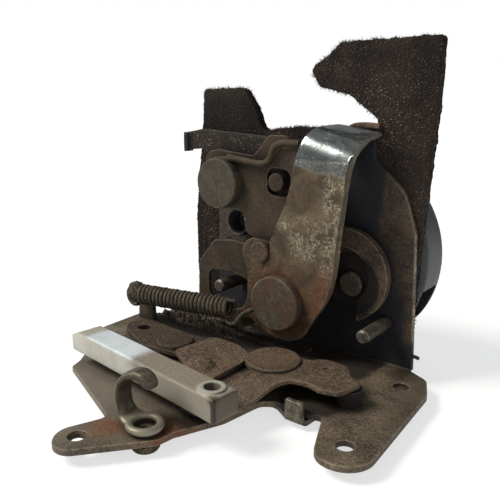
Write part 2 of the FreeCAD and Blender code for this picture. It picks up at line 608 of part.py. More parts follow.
os.makedirs("parts", exist_ok=True)
for name, shape in parts().items():
    shape.translate(V(-FRONT_EAR[0], -FRONT_EAR[1], 0))
    if not shape.isValid() or shape.Volume <= 0:
        print("check", name, shape.isValid(), round(shape.Volume, 1))
    shape.exportStep("parts/%s.step" % name)
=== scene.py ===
import json
import math
import random

import bmesh
import bpy
from mathutils import Matrix, Vector, noise

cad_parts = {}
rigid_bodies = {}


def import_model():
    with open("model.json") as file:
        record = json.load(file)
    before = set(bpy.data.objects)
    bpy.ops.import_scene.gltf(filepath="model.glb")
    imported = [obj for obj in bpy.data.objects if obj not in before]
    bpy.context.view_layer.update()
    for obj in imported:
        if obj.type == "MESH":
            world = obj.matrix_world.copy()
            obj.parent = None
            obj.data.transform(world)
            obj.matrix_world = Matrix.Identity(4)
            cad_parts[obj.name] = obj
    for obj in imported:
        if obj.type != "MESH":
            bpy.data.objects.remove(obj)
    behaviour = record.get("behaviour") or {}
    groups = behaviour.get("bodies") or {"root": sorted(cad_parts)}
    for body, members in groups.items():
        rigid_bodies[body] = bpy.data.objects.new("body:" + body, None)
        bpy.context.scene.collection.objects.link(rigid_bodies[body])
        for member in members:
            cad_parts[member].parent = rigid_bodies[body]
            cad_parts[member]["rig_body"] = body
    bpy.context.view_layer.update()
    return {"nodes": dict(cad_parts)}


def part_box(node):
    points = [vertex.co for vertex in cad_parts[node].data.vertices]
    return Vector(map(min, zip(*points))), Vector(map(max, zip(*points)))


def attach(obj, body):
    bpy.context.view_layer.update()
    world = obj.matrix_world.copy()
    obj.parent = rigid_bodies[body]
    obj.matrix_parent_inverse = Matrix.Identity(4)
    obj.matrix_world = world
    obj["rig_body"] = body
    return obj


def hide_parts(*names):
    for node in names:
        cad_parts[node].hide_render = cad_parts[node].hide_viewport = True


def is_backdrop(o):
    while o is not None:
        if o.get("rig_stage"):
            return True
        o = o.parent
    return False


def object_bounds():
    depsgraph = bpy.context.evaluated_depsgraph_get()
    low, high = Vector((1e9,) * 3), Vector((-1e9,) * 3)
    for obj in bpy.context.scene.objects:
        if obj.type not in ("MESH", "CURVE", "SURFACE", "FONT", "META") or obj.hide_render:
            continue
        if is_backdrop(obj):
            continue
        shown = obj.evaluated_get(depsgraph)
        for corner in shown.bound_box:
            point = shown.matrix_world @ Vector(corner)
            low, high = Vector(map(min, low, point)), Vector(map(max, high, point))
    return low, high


# Looks of an old rotary door latch: filthy pressed steel, torn foam, a plated release
# lever, a nylon pull bar and a rusty tension spring.
# Places are written in millimetres in the design frame, whose corner is where the wall
# plate's front face meets the base plate's top face, and at() turns them into the row frame.

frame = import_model()
nodes = frame["nodes"]

MM = 0.001
CORNER = Vector((-0.005, 0.0522, 0.0))
RIGHT = (1, 0, 0)
BACK = (0, 1, 0)
UP = (0, 0, 1)

AZIMUTH = 38.2
ELEVATION = 14.8
ROLL = 0.5
CAMERA_PLACE = Vector((0.06744, -0.12673, 0.0900))
CAMERA_LENS = 43.92
CAMERA_SENSOR = 36.0

SKY = 0.27
KEY = 3.35
SIDE = 0.5
FLOOR_GLOW = 0.66

BAR_CORNER = CORNER + Vector((-0.0229, -0.0727, 0.0118))
RELEASE_FACE = -17.2
RELEASE_THICK = 1.9
SPRING_RADIUS = 3.15
WIRE_RADIUS = 0.80
COILS = 23
STRUTS = 9000


def at(x, y, z):
    """A point of the design frame, in millimetres, as a point of the row frame."""
    return CORNER + Vector((x, y, z)) * MM


SPRING_LEFT = at(-98.6, -28.4, 12.8)
SPRING_RIGHT = at(-60.2, -21.2, 13.8)


def middle(node):
    low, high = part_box(node)
    return (low + high) / 2


# ---- materials: a small kit ----
def tint(code, gain=1.0):
    """Linear colour from a hexadecimal code."""
    values = [int(code[i:i + 2], 16) / 255 for i in (0, 2, 4)]
    linear = [v / 12.92 if v <= 0.04045 else ((v + 0.055) / 1.055) ** 2.4 for v in values]
    return (*[v * gain for v in linear], 1.0)


class Look:
    """One procedural material; sizes are in millimetres and positions ride with the mesh.

    self.colour is the paint so far, and lay() and band() put further layers over it."""

    def __init__(self, name):
        self.material = bpy.data.materials.new(name)
        self.material.use_nodes = True
        self.tree = self.material.node_tree
        self.tree.nodes.clear()
        self.shader = self.node("BsdfPrincipled")
        self.node("OutputMaterial", {0: self.shader.outputs[0]})
        self.place = self.node("TexCoord").outputs["Object"]
        self.colour = None
        self.relief = None

    def node(self, kind, feeds=None, **settings):
        """A new node with its settings made and its inputs fed, by name or by number."""
        made = self.tree.nodes.new("ShaderNode" + kind)
        for key, value in settings.items():
            setattr(made, key, value)
        for key, value in (feeds or {}).items():
            self.feed(made.inputs[key], value)
        return made

    def feed(self, socket, value):
        """Joins another node's output to the socket, or sets the socket's own value."""
        if isinstance(value, bpy.types.NodeSocket):
            self.tree.links.new(value, socket)
        else:
            socket.default_value = value

    def math(self, operation, a, b):
        return self.node("Math", {0: a, 1: b}, operation=operation, use_clamp=True).outputs[0]

    def both(self, first, *others):
        for other in others:
            first = self.math("MULTIPLY", first, other)
        return first

    def either(self, first, *others):
        for other in others:
            first = self.math("MAXIMUM", first, other)
        return first

    def plus(self, a, b):
        return self.math("ADD", a, b)

    def opposite(self, mask):
        return self.math("SUBTRACT", 1.0, mask)

    def vector(self, operation, a, b, output="Value"):
        return self.node("VectorMath", {0: a, 1: b}, operation=operation).outputs[output]

    def stretched(self, stretch, shift):
        feeds = {"Vector": self.place, "Scale": stretch, "Location": (shift, shift * 0.7, -shift)}
        return self.node("Mapping", feeds).outputs[0]

    def noise(self, size, detail=4.0, rough=0.6, stretch=(1, 1, 1), shift=0.0, warp=0.0):
        feeds = {"Vector": self.stretched(stretch, shift), "Scale": 1 / (size * MM), "Detail": detail,
                 "Roughness": rough, "Distortion": warp}
        return self.node("TexNoise", feeds).outputs["Fac"]

    def cells(self, size, shift=0.0):
        feeds = {"Vector": self.stretched((1, 1, 1), shift), "Scale": 1 / (size * MM)}
        return self.node("TexVoronoi", feeds).outputs["Distance"]

    def span(self, value, low, high):
        """0 at low and 1 at high, with a smooth rise; low may be the larger."""
        feeds = {"Value": value, "From Min": min(low, high), "From Max": max(low, high),
                 "To Min": 0.0 if low < high else 1.0, "To Max": 1.0 if low < high else 0.0}
        return self.node("MapRange", feeds, interpolation_type="SMOOTHSTEP").outputs["Result"]

    def mix(self, share, a, b):
        return self.node("Mix", {0: share, 6: a, 7: b}, data_type="RGBA").outputs[2]

    def blend(self, share, a, b):
        return self.node("Mix", {0: share, 2: a, 3: b}, data_type="FLOAT").outputs[0]

    def tones(self, value, low, high, first, last, gain=1.0):
        """A colour that goes from the first code to the last as the value rises."""
        return self.mix(self.span(value, low, high), tint(first, gain), tint(last, gain))

    def lay(self, mask, over, share=None):
        """Lays a colour, or the colour of a code, over the paint where the mask is 1."""
        if share is not None:
            mask = self.both(mask, share)
        self.colour = self.mix(mask, self.colour, tint(over) if isinstance(over, str) else over)

    def band(self, value, low, high, over, share=None):
        """Lays a colour over the paint where the value has gone from low to high."""
        self.lay(self.span(value, low, high), over, share)

    def near(self, point, inner, outer, upright=False):
        """1 within inner of a point, or of the vertical through it, falling to 0 at outer."""
        place = self.place
        if upright:
            place = self.vector("MULTIPLY", place, (1, 1, 0), 0)
            point = (point.x, point.y, 0)
        return self.span(self.vector("DISTANCE", place, point), outer * MM, inner * MM)

    def along(self, direction, low, high):
        """0 where the point's share along a direction is low, 1 where it is high (millimetres)."""
        place = self.vector("SUBTRACT", self.place, CORNER, 0)
        return self.span(self.vector("DOT_PRODUCT", place, direction), low * MM, high * MM)

    def normal(self):
        return self.node("NewGeometry").outputs["Normal"]

    def facing(self, direction, low=0.3, high=0.8):
        """1 where the surface faces a direction of the object."""
        return self.span(self.vector("DOT_PRODUCT", self.normal(), direction), low, high)

    def worn_edges(self, width, value=None, low=0.0, high=1.0):
        """1 on corners rounder than the width, from how far a bevel would turn the normal.

        Where a value is given, it also has to have gone from low to high."""
        bevel = self.node("Bevel", {"Radius": width * MM}, samples=4).outputs[0]
        worn = self.span(self.vector("DOT_PRODUCT", bevel, self.normal()), 0.998, 0.93)
        return self.both(worn, self.span(value, low, high)) if value else worn

    def hollows(self, reach):
        """1 in corners and gaps narrower than the reach, where the looks lay painted shade."""
        made = self.node("AmbientOcclusion", {"Distance": reach * MM}, samples=4)
        return self.span(made.outputs["AO"], 0.9, 0.35)

    def bump(self, height, depth):
        made = self.node("Bump", {"Strength": 1.0, "Distance": depth * MM, "Height": height})
        if self.relief:
            self.feed(made.inputs["Normal"], self.relief)
        self.relief = made.outputs[0]

    def finish(self, rough, metal=0.0, specular=0.5):
        """Feeds the paint and the surface to the shader, and gives the finished material."""
        feeds = {"Base Color": self.colour, "Roughness": rough, "Metallic": metal,
                 "Specular IOR Level": specular}
        if self.relief:
            feeds["Normal"] = self.relief
        for key, value in feeds.items():
            self.feed(self.shader.inputs[key], value)
        return self.material


# ---- materials ----
RUST = "5a3018"
# Near black laid in hollows: painted shade, with some soot.
SHADE_AND_SOOT = "120f0e"
# Blue-black laid in the pins' hollows: painted shade, with some grease.
SHADE_AND_GREASE = "1d1f25"
DUST = "a08f78"


def grimy(name, dark, light, gain=1.0, rust=0.3, bare=0.5, dust=0.4, grain=0.10, edge=0.6,
          sand=0.0, rust_spots=(), shaded=None, tone_and_light=None, edge_highlight=None, shade_colour="151110"):
    """Pressed steel under a film of dirt: blotches, dust, rust spots, corners worn bare, painted shade.

    sand adds fine pale grains; an optional mask of painted shade is laid in the shade colour, which
    also paints shade into the hollows; optional masks and colours laid over the film are, on the
    base plate, partly its own tone and partly painted light; and an optional edge mask laid in bare
    metal colour is, on the wall plate, a painted highlight on its right edges with bare flecks."""
    look = Look(name)
    look.colour = look.tones(look.noise(13, 7, 0.66, warp=0.5), 0.36, 0.64, dark, light, gain)
    grit = look.noise(0.8, 5, 0.8)
    look.band(grit, 0.50, 0.62, tint(light, 2.0 * gain), dust)
    look.band(grit, 0.48, 0.38, tint(dark, 0.45 * gain), 0.7)
    look.band(look.cells(0.8, shift=0.4), 0.22, 0.08, tint(DUST, gain), dust)
    # Masks and colours laid over the film: on the base plate partly its own tone and partly painted light.
    for mask, wash in tone_and_light(look) if tone_and_light else ():
        look.lay(mask, wash)
    look.band(grit, 0.60, 0.70, tint(DUST, gain), 0.5 * dust)
    patch = look.noise(7.5, 7, 0.68, shift=1.7, warp=0.8)
    spots = look.span(patch, 0.72 - 0.3 * rust, 0.80 - 0.2 * rust)
    for spot in rust_spots:
        spots = look.either(spots, look.both(look.near(*spot), look.span(patch, 0.40, 0.56)))
    look.lay(spots, look.tones(grit, 0.35, 0.7, RUST, "8a4c22", gain), 0.75)
    rub = look.worn_edges(edge, look.noise(2.2, 5, 0.65, shift=0.9), 0.34, 0.56)
    # A painted edge highlight, where one is given, joins the worn edges.
    if edge_highlight:
        rub = look.either(rub, edge_highlight(look))
    rub = look.both(rub, bare)
    # Painted shade: where the shaded mask lies, no edges are worn bare.
    if shaded:
        shaded_mask = shaded(look)
        rub = look.both(rub, look.opposite(shaded_mask))
    # Bare metal colour on the worn edges and on any painted edge highlight.
    look.lay(rub, tint("9a8c78", 0.5 + 0.5 * gain))
    if sand:
        fine = look.noise(0.42, 3, 0.75, shift=7.0)
        drifts = look.span(look.noise(6, 5, 0.7, shift=9.0), 0.34, 0.60)
        pale = look.both(look.span(fine, 0.54, 0.64), look.blend(drifts, 0.25, 1.0))
        look.lay(pale, tint("988a76", 0.5 + 0.5 * gain), sand)
        look.band(fine, 0.44, 0.36, "1a1510", 0.6 * sand)
    # Painted shade: the hollows, and the shaded mask where one is given, are laid in the shade colour.
    shade = look.both(look.hollows(6.0), 0.75)
    if shaded:
        shade = look.either(shade, look.both(shaded_mask, 0.88))
    look.lay(shade, shade_colour)
    look.bump(grit, grain)
    look.bump(patch, grain * 1.6)
    rough = look.blend(look.span(grit, 0.3, 0.7), 0.55, 0.80)
    return look.finish(look.blend(rub, rough, 0.4), look.both(rub, 0.35), 0.3)


def rivet_look():
    """Big hammered heads, matt on the face, with bright nicks round the rim."""
    look = Look("worn_rivet")
    blotch = look.noise(5, 7, 0.7, warp=0.5)
    pits = look.noise(1.3, 5, 0.7, shift=2.2)
    scars = look.noise(1.9, 6, 0.8, shift=6.1, warp=0.8)
    low_head = look.near(middle("lower_rivet"), 15.0, 19.0)
    look.colour = look.tones(blotch, 0.30, 0.70, "39332a", "4a4436")
    look.band(pits, 0.55, 0.72, "7a6d5c", 0.5)
    look.band(pits, 0.42, 0.3, "1d1815", 0.7)
    look.lay(look.both(look.span(scars, 0.53, 0.64), low_head), "7c705e", 0.55)
    look.lay(look.both(look.span(scars, 0.47, 0.38), low_head), "2a1d14", 0.6)
    look.lay(look.both(look.span(blotch, 0.58, 0.46), low_head), "5a3a26", 0.4)
    rub = look.worn_edges(0.7, blotch, 0.4, 0.6)
    look.lay(rub, "8c8375", 0.75)
    # Painted shade in the hollows.
    look.lay(look.hollows(4.0), SHADE_AND_SOOT, 0.55)
    look.bump(pits, 0.12)
    look.bump(blotch, 0.2)
    return look.finish(look.blend(rub, 0.66, 0.45), look.blend(rub, 0.2, 0.4), 0.35)


def lever_look():
    """Zinc plate on the release lever: bright at the bend, corroded down the face, rusty at its foot."""
    look = Look("stained_zinc")
    drift = look.noise(9, 6, 0.65, warp=0.6)
    fine = look.noise(1.5, 6, 0.8, shift=0.8)
    flecks = look.noise(0.9, 5, 0.8, shift=4.4)
    scuffs = look.noise(1.6, 5, 0.75, stretch=(0.5, 1.6, 1.0), shift=5.2)
    look.colour = look.tones(drift, 0.35, 0.65, "413626", "5f513c")
    look.band(fine, 0.5, 0.36, "2c251c", 0.5)
    salts = look.either(look.both(look.along(RIGHT, -29.0, -23.0), look.along(UP, 68.0, 60.0)),
                        look.near(at(-31.6, RELEASE_FACE, 42.6), 3.0, 11.0),
                        look.near(at(-40.6, RELEASE_FACE, 46.4), 0.5, 4.0))
    salts = look.both(look.span(look.noise(4.0, 5, 0.7, shift=3.1), 0.38, 0.54), salts,
                      look.span(flecks, 0.44, 0.60))
    look.lay(salts, "a8a088", 0.75)
    dusty = look.colour
    height = look.along((0.12, 0, 1), 55.0, 67.0)
    clean = look.span(look.plus(height, look.both(drift, 0.5)), 0.72, 1.0)
    clean = look.both(clean, look.either(look.along(UP, 66.0, 69.0), look.span(flecks, 0.62, 0.46)))
    look.colour = look.tones(drift, 0.40, 0.62, "8f9493", "6f7473")
    look.band(fine, 0.50, 0.66, "5d5a4c", 0.6)
    look.band(scuffs, 0.56, 0.64, "8c8470", 0.6)
    look.band(flecks, 0.61, 0.67, "3a3d38", 0.5)
    look.colour = look.mix(clean, dusty, look.colour)
    rusty = look.both(look.near(middle("lower_rivet"), 9.0, 20.0), look.span(drift, 0.22, 0.5))
    low_edge = look.both(look.along(RIGHT, -31.0, -26.0), look.along(UP, 38.0, 27.0))
    rusty = look.either(rusty, look.both(low_edge, look.span(drift, 0.15, 0.4)))
    look.lay(rusty, look.tones(fine, 0.35, 0.65, "3d2114", "673a1f"), 0.8)
    side = look.facing((1, 0.1, 0), 0.45, 0.8)
    look.lay(side, look.tones(drift, 0.35, 0.65, "453a2d", "685a48"), 0.85)
    look.lay(look.worn_edges(0.5, fine, 0.38, 0.52), "958b76", 0.5)
    # Painted shade in the hollows.
    look.lay(look.hollows(6.0), SHADE_AND_SOOT, 0.5)
    clean = look.both(clean, look.opposite(side))
    dull = look.opposite(clean)
    look.bump(look.both(fine, look.blend(dull, 0.2, 1.0)), 0.05)
    look.bump(look.both(drift, look.blend(dull, 0.1, 1.0)), 0.35)
    metal = look.blend(clean, 0.15, look.blend(look.span(scuffs, 0.56, 0.64), 0.88, 0.5))
    rough = look.blend(clean, 0.68, look.blend(look.span(drift, 0.35, 0.65), 0.13, 0.2))
    return look.finish(rough, metal, 0.35)


def zinc_look():
    """Dusty bright zinc of the clip and eyelet."""
    look = Look("dusty_zinc")
    drift = look.noise(4.5, 6, 0.65, warp=0.5)
    fine = look.noise(0.9, 5, 0.7, shift=0.5)
    look.colour = look.tones(drift, 0.38, 0.62, "40392e", "615849")
    look.band(fine, 0.55, 0.7, "a8a08a", 0.4)
    look.lay(look.along(UP, 3.6, 2.6), "a39d88", 0.55)
    # Painted shade under the curl: faces turned down, to the front and right, above the ring.
    inner = look.both(look.facing((0.5, -0.45, -0.75), 0.05, 0.6), look.along(UP, 3.4, 5.0))
    look.lay(inner, "2a221b", 0.75)
    look.band(look.noise(3.2, 5, 0.7, shift=2.4), 0.60, 0.68, RUST, 0.5)
    rub = look.both(look.worn_edges(0.5), 0.6)
    look.lay(rub, "a9a292")
    # Painted shade in the hollows.
    look.lay(look.hollows(5.0), SHADE_AND_SOOT, 0.85)
    look.bump(fine, 0.05)
    look.bump(drift, 0.12)
    return look.finish(look.blend(rub, 0.5, 0.35), look.blend(rub, 0.4, 0.6), 0.4)


def yellow_look():
    """Yellow-passivated zinc gone olive under dust, with a few bright nicks."""
    look = Look("yellow_zinc_plate")
    drift = look.noise(2.6, 5, 0.6, warp=0.4)
    fine = look.noise(0.8, 5, 0.7, shift=0.7)
    look.colour = look.tones(drift, 0.38, 0.64, "3a362c", "635e4e")
    look.band(fine, 0.5, 0.7, "8b8672", 0.4)
    look.band(fine, 0.70, 0.76, "cfccb4")
    # Painted shade in the hollows.
    look.lay(look.hollows(4.0), SHADE_AND_SOOT, 0.7)
    look.bump(fine, 0.08)
    look.bump(drift, 0.25)
    return look.finish(look.blend(drift, 0.35, 0.6), 0.4, 0.4)


def pin_look():
    """Machined pin ends under grease and dirt, with a bright chamfer and painted shade in their hollows."""
    look = Look("oily_pin")
    drift = look.noise(2.5, 6, 0.7, warp=0.4)
    look.colour = look.tones(drift, 0.38, 0.64, "302a23", "4e453a")
    rub = look.worn_edges(0.6, drift, 0.42, 0.56)
    look.lay(rub, "a39c8e", 0.75)
    # Painted shade in the hollows.
    look.lay(look.hollows(4.0), SHADE_AND_GREASE, 0.6)
    look.bump(drift, 0.12)
    return look.finish(look.blend(rub, 0.58, 0.4), look.blend(rub, 0.1, 0.5), 0.4)


def housing_look():
    """Satin grey paint with dusty runs and scuffs."""
    look = Look("satin_grey_paint")
    drift = look.noise(12, 5, 0.6, stretch=(1, 1, 0.5))
    fine = look.noise(0.7, 4, 0.7, shift=1.1)
    look.colour = look.tones(drift, 0.35, 0.65, "1b1c1e", "303030")
    look.band(fine, 0.56, 0.7, "6d675e", 0.4)
    scuff = look.worn_edges(0.8, look.noise(1.8, 4, 0.6, shift=2.0), 0.45, 0.6)
    look.lay(scuff, "8a8883", 0.7)
    # Painted shade in the hollows.
    look.lay(look.hollows(6.0), SHADE_AND_SOOT, 0.6)
    look.bump(fine, 0.04)
    look.bump(drift, 0.2)
    return look.finish(look.blend(fine, 0.36, 0.55), look.both(scuff, 0.4), 0.4)


def foam_look():
    """Open-cell foam, soaked in lubricant and peppered with dust."""
    look = Look("filthy_foam")
    pores = look.cells(0.75)
    look.colour = look.tones(look.noise(13, 5, 0.6, warp=0.3), 0.35, 0.65, "1f1915", "332a24")
    look.band(pores, 0.5, 0.15, "0b0908", 0.6)
    thick = look.blend(look.span(look.noise(5, 5, 0.7, shift=5.0), 0.40, 0.60), 0.08, 0.6)
    notch = look.near(at(-17.5, 4.0, 82.0), 4.0, 22.0)
    flecks = look.span(look.cells(0.85, shift=1.3), 0.24, 0.10)
    look.lay(look.both(flecks, look.either(thick, notch)), "a0968a", 0.85)
    left = look.along(RIGHT, -60, -66)
    look.lay(left, "110d0b", 0.6)
    look.lay(look.both(look.along(UP, 84, 91), left), "3a3524", 0.5)
    look.bump(pores, 0.4)
    look.bump(look.noise(0.6, 4, 0.7), 0.3)
    look.shader.inputs["Sheen Weight"].default_value = 0.05
    return look.finish(0.95, 0.0, 0.15)


def dirt_look():
    """Loose grains of sand, rust and oil-bound dust."""
    look = Look("loose_dirt")
    grain = look.noise(0.8, 3, 0.7)
    look.colour = look.tones(look.noise(0.7, 2, 0.6, shift=0.6), 0.40, 0.60, "3c332b", "7a6c5c")
    look.band(grain, 0.54, 0.66, "a39685", 0.6)
    look.bump(grain, 0.15)
    return look.finish(0.95, 0.0, 0.15)


def spring_look():
    """Rusty wire, with painted shade between the coils."""
    look = Look("rusty_wire")
    fine = look.noise(0.45, 4, 0.8, shift=0.4)
    look.colour = look.tones(look.noise(2.2, 6, 0.7, warp=0.4), 0.36, 0.62, "332c23", "4c4437")
    look.band(fine, 0.51, 0.62, "847a66", 0.75)
    look.band(fine, 0.47, 0.39, "191510", 0.7)
    # Painted shade between the coils.
    look.lay(look.hollows(1.5), "0d0b0a", 0.8)
    look.bump(fine, 0.14)
    return look.finish(0.75, 0.15, 0.3)


def nylon_look():
    """Aged white nylon: painted paler and bluer on top as top light, beige where handled, brown grime at
    the ends and edges, dark brown on the faces turned right, painted shade in the hollows.
    """
    look = Look("aged_nylon")
    drift = look.noise(11, 5, 0.6, warp=0.5)
    fine = look.noise(1.2, 5, 0.7, shift=0.9)
    edge = look.noise(6, 5, 0.65, shift=2.0)
    right = look.span(look.plus(look.along(RIGHT, -70.0, -44.0), look.both(edge, 0.4)), 0.45, 0.75)
    left = look.span(look.plus(look.along(RIGHT, -74.0, -90.0), look.both(edge, 0.5)), 0.6, 0.95)
    top = look.facing(UP)
    plain = look.tones(drift, 0.35, 0.65, "a19f90", "b4b2a8")
    # Painted top light: the faces turned up are paler and bluer than the sides.
    painted_top_light = look.tones(drift, 0.35, 0.65, "bcc3c4", "cfd6d8")
    look.colour = look.mix(top, plain, painted_top_light)
    look.lay(right, look.mix(top, tint("827c6e"), tint("857d6f")))
    look.lay(look.both(top, left), "8f8467", 0.7)
    stain = look.both(top, look.span(fine, 0.42, 0.62), look.either(right, left))
    look.lay(stain, "6b5940", 0.4)
    look.lay(look.both(look.near(at(-27.5, -67.7, 12.4), 3.6, 5.4), top), "a19f92", 0.7)
    look.lay(look.facing(RIGHT), look.tones(drift, 0.4, 0.6, "42392c", "51473a"), 0.85)
    below = look.both(look.along(UP, 8.0, 4.4), look.span(edge, 0.35, 0.6))
    look.lay(below, "6d634e", 0.45)
    # Painted shade in the hollows.
    look.lay(look.hollows(5.0), "3d342a", 0.5)
    look.lay(look.near(BAR_CORNER, 1.2, 3.2), "4a3a26", 0.85)
    split = look.both(look.near(BAR_CORNER, 0.7, 1.3, upright=True), look.span(edge, 0.25, 0.35))
    look.lay(split, "1f1812", 0.9)
    look.bump(fine, 0.05)
    look.bump(drift, 0.25)
    look.shader.inputs["Subsurface Weight"].default_value = 0.1
    look.shader.inputs["Subsurface Radius"].default_value = (0.0015, 0.0013, 0.001)
    return look.finish(look.blend(fine, 0.4, 0.6), 0.0, 0.4)


def wall_painted_shade(look):
    """Painted shade on the wall plate behind the levers, and the plate laid near black low down."""
    ragged = look.both(look.noise(8, 5, 0.7, shift=6.0), 0.5)
    # Painted shade behind the levers.
    inner = look.span(look.plus(look.along((1, 0, -0.08), -15.5, -25.5), ragged), 0.30, 0.62)
    # Near black low down, higher up along the right edge.
    low = look.either(look.both(look.along(UP, 36.0, 12.0), look.along(RIGHT, -1.5, -7.0)),
                      look.both(look.along(UP, 14.0, 6.0), 0.6))
    low = look.span(look.plus(low, ragged), 0.45, 0.85)
    return look.either(look.both(inner, look.along(RIGHT, -60, -52)), low)


def ratchet_painted_shade(look):
    """Painted shade over the ratchet's web, inside its worn rim."""
    hub = middle("spindle")
    return look.near((hub.x, middle("ratchet_plate").y, hub.z), 10.2, 11.4)


def base_painted_shade(look):
    """Painted shade on the base plate: the trough behind the lock link and along the foot of the wall, with
    a ragged border.
    """
    ragged = look.both(look.noise(7, 6, 0.75, shift=8.0), 0.6)
    depth = look.both(look.along((0.05, 1, 0), -31.0, -24.0), look.along(RIGHT, -44.0, -52.0))
    corner = look.both(look.along((-0.2, 1, 0), -24.0, -12.0), look.along(RIGHT, -58.0, -50.0),
                       look.along(RIGHT, -3.0, -15.0))
    place = look.either(look.both(depth, 0.75), look.both(corner, 0.85))
    # Painted shade under the inside lever's wing.
    under_wing_shade = look.near(at(-15, -37, 0), 9.0, 12.5)
    return look.either(look.span(look.plus(place, ragged), 0.62, 0.86), under_wing_shade)


def base_tone_and_light(look):
    """Greyer and paler towards the arm, darker and browner towards the right: partly the plate's own tone,
    partly painted light from the left.
    """
    left = look.both(look.along(RIGHT, -40, -66), 0.6, look.along(BACK, -30, -38))
    right = look.both(look.along((1, 0.5, 0), -16, 2), 0.5)
    return (left, "7c7568"), (right, "3a3125")


def right_edge_highlight(look):
    """Painted highlight on the edges that face right, in flecks of bare metal colour."""
    return look.both(look.facing(RIGHT, 0.5, 0.9), look.span(look.noise(1.4, 5, 0.8), 0.44, 0.58))


def dress():
    """Gives every CAD node its finish."""
    foot = middle("lower_rivet")
    eyelet = middle("clip_eyelet")
    stained = [(eyelet + Vector((7, 1, 0)) * MM, 4.0, 13.0), (eyelet - Vector((9, 5, 0)) * MM, 1.0, 9.0)]
    finishes = {
        # The base plate gets painted shade in the trough and under the wing, and painted light towards the
        # arm.
        grimy("base_film", "3e3529", "675b49", gain=0.94, rust=0.2, grain=0.12, bare=0.8,
              rust_spots=stained, shaded=base_painted_shade, tone_and_light=base_tone_and_light): ["base_plate"],
        # The wall plate gets painted shade behind the levers, near black low down, and a painted highlight
        # on its right edges.
        grimy("wall_film", "2f261f", "55483b", gain=0.82, rust=0.3, bare=0.9, dust=0.35, grain=0.2,
              shaded=wall_painted_shade, edge_highlight=right_edge_highlight, shade_colour="1e2027"): ["wall_plate"],
        grimy("lever_film", "48382a", "69563f", gain=0.35, rust=0.4, bare=0.7, dust=0.5, grain=0.16):
            ["bridge_plate", "lock_plate", "lock_pin", "pawl", "trip_plate"],
        # The ratchet gets painted shade over its web.
        grimy("ratchet_film", "40362d", "6b5a48", gain=0.62, rust=0.4, bare=0.9, edge=0.9,
              shaded=ratchet_painted_shade): ["ratchet_plate"],
        grimy("strip_film", "40342b", "5f5143", gain=0.15, rust=0.2, bare=0.6, dust=0.5, grain=0.2):
            ["lock_lever", "inside_spacer", "lever_bush"],
        grimy("trodden_film", "4d3f30", "6e5c48", gain=0.60, rust=0.4, grain=0.16, bare=0.9, dust=0.7,
              sand=0.35, rust_spots=[(middle("flat_rivet"), 0.5, 12.0)]): ["inside_lever", "flat_rivet"],
        grimy("crusted_film", "3f3327", "614f3d", rust=0.45, dust=0.9, grain=0.3, sand=0.7):
            ["transfer_lever", "dome_rivet"],
        grimy("link_film", "3f3327", "614f3d", gain=0.44, rust=0.4, dust=0.9, grain=0.35, sand=0.55):
            ["lock_link", "crust_rivet", "spring_post"],
        grimy("rust_film", "473829", "6b5940", gain=0.68, rust=0.6, bare=0.35,
              rust_spots=[(foot, 8.0, 20.0)]): ["lift_plate", "pawl_pin"],
        rivet_look(): ["lower_rivet", "upper_rivet", "bridge_spacer", "lock_hub", "pawl_hub",
                       "cover_rivets", "spindle"],
        pin_look(): ["stop_pin", "stop_stud", "fork_bolt", "bar_pin"],
        zinc_look(): ["rod_clip", "clip_eyelet"],
        yellow_look(): ["lug_lever"],
        housing_look(): ["rotor_housing", "housing_cover"],
        spring_look(): ["catch_spring", "tension_spring"],
        lever_look(): ["release_lever"]}
    for material, names in finishes.items():
        for name in names:
            coat(nodes[name], material)


def coat(obj, paint):
    obj.data.materials.clear()
    obj.data.materials.append(paint)


def worn_by(node):
    """The material that a CAD node wears."""
    return nodes[node].data.materials[0]


# ---- mesh helpers ----
def linked(name, data):
    """A new object of a mesh, a curve, a light or a camera, in the scene."""
    obj = bpy.data.objects.new(name, data)
    bpy.context.scene.collection.objects.link(obj)
    return obj


def circle(count):
    """The cosine and sine at even steps of a full turn."""
    return [(math.cos(math.tau * k / count), math.sin(math.tau * k / count)) for k in range(count)]


def built(name, work, smooth=False, outward=False):
    """A finished bmesh as a linked object, with its faces turned outward if asked."""
    if outward:
        bmesh.ops.recalc_face_normals(work, faces=work.faces)
    mesh = bpy.data.meshes.new(name)
    work.to_mesh(mesh)
    work.free()
    if smooth:
        mesh.shade_smooth()
    return linked(name, mesh)


def skinned(work, rings, closed=False):
    """Faces between each ring of vertices and the next, and from the last to the first if closed."""
    for first, second in zip(rings, rings[1:] + rings[:1] * closed):
        for k in range(len(first)):
            n = (k + 1) % len(first)
            work.faces.new((first[k], first[n], second[n], second[k]))


def as_seen(obj):
    """A mesh of the object's shape with its modifiers or its curve's bevel worked in."""
    graph = bpy.context.evaluated_depsgraph_get()
    return bpy.data.meshes.new_from_object(obj.evaluated_get(graph))


def settled(obj):
    """The object with its modifiers worked into its mesh."""
    mesh = as_seen(obj)
    obj.modifiers.clear()
    obj.data = mesh
    return obj


def evened(obj, voxel):
    """The object remeshed in even voxels."""
    remesh = obj.modifiers.new("even", "REMESH")
    remesh.mode = "VOXEL"
    remesh.voxel_size = voxel * MM
    remesh.use_smooth_shade = True
    return settled(obj)


def remeshed(node, name, voxel):
    """A CAD node's shape as an even mesh, ready to be worked on."""
    work = bmesh.new()
    work.from_mesh(nodes[node].data)
    bmesh.ops.remove_doubles(work, verts=work.verts, dist=1e-6)
    return evened(built(name, work), voxel)


def smoothed(obj, steps):
    smooth = obj.modifiers.new("smooth", "SMOOTH")
    smooth.iterations = steps
    smooth.factor = 0.5
    return settled(obj)


def pushed(obj, amount):
    """Moves each vertex along its normal by amount(place in mm, normal) millimetres."""
    mesh = obj.data
    normals = [v.normal.copy() for v in mesh.vertices]
    for vertex, normal in zip(mesh.vertices, normals):
        place = (vertex.co - CORNER) / MM
        vertex.co += normal * amount(place, normal) * MM
    mesh.update()
    return obj


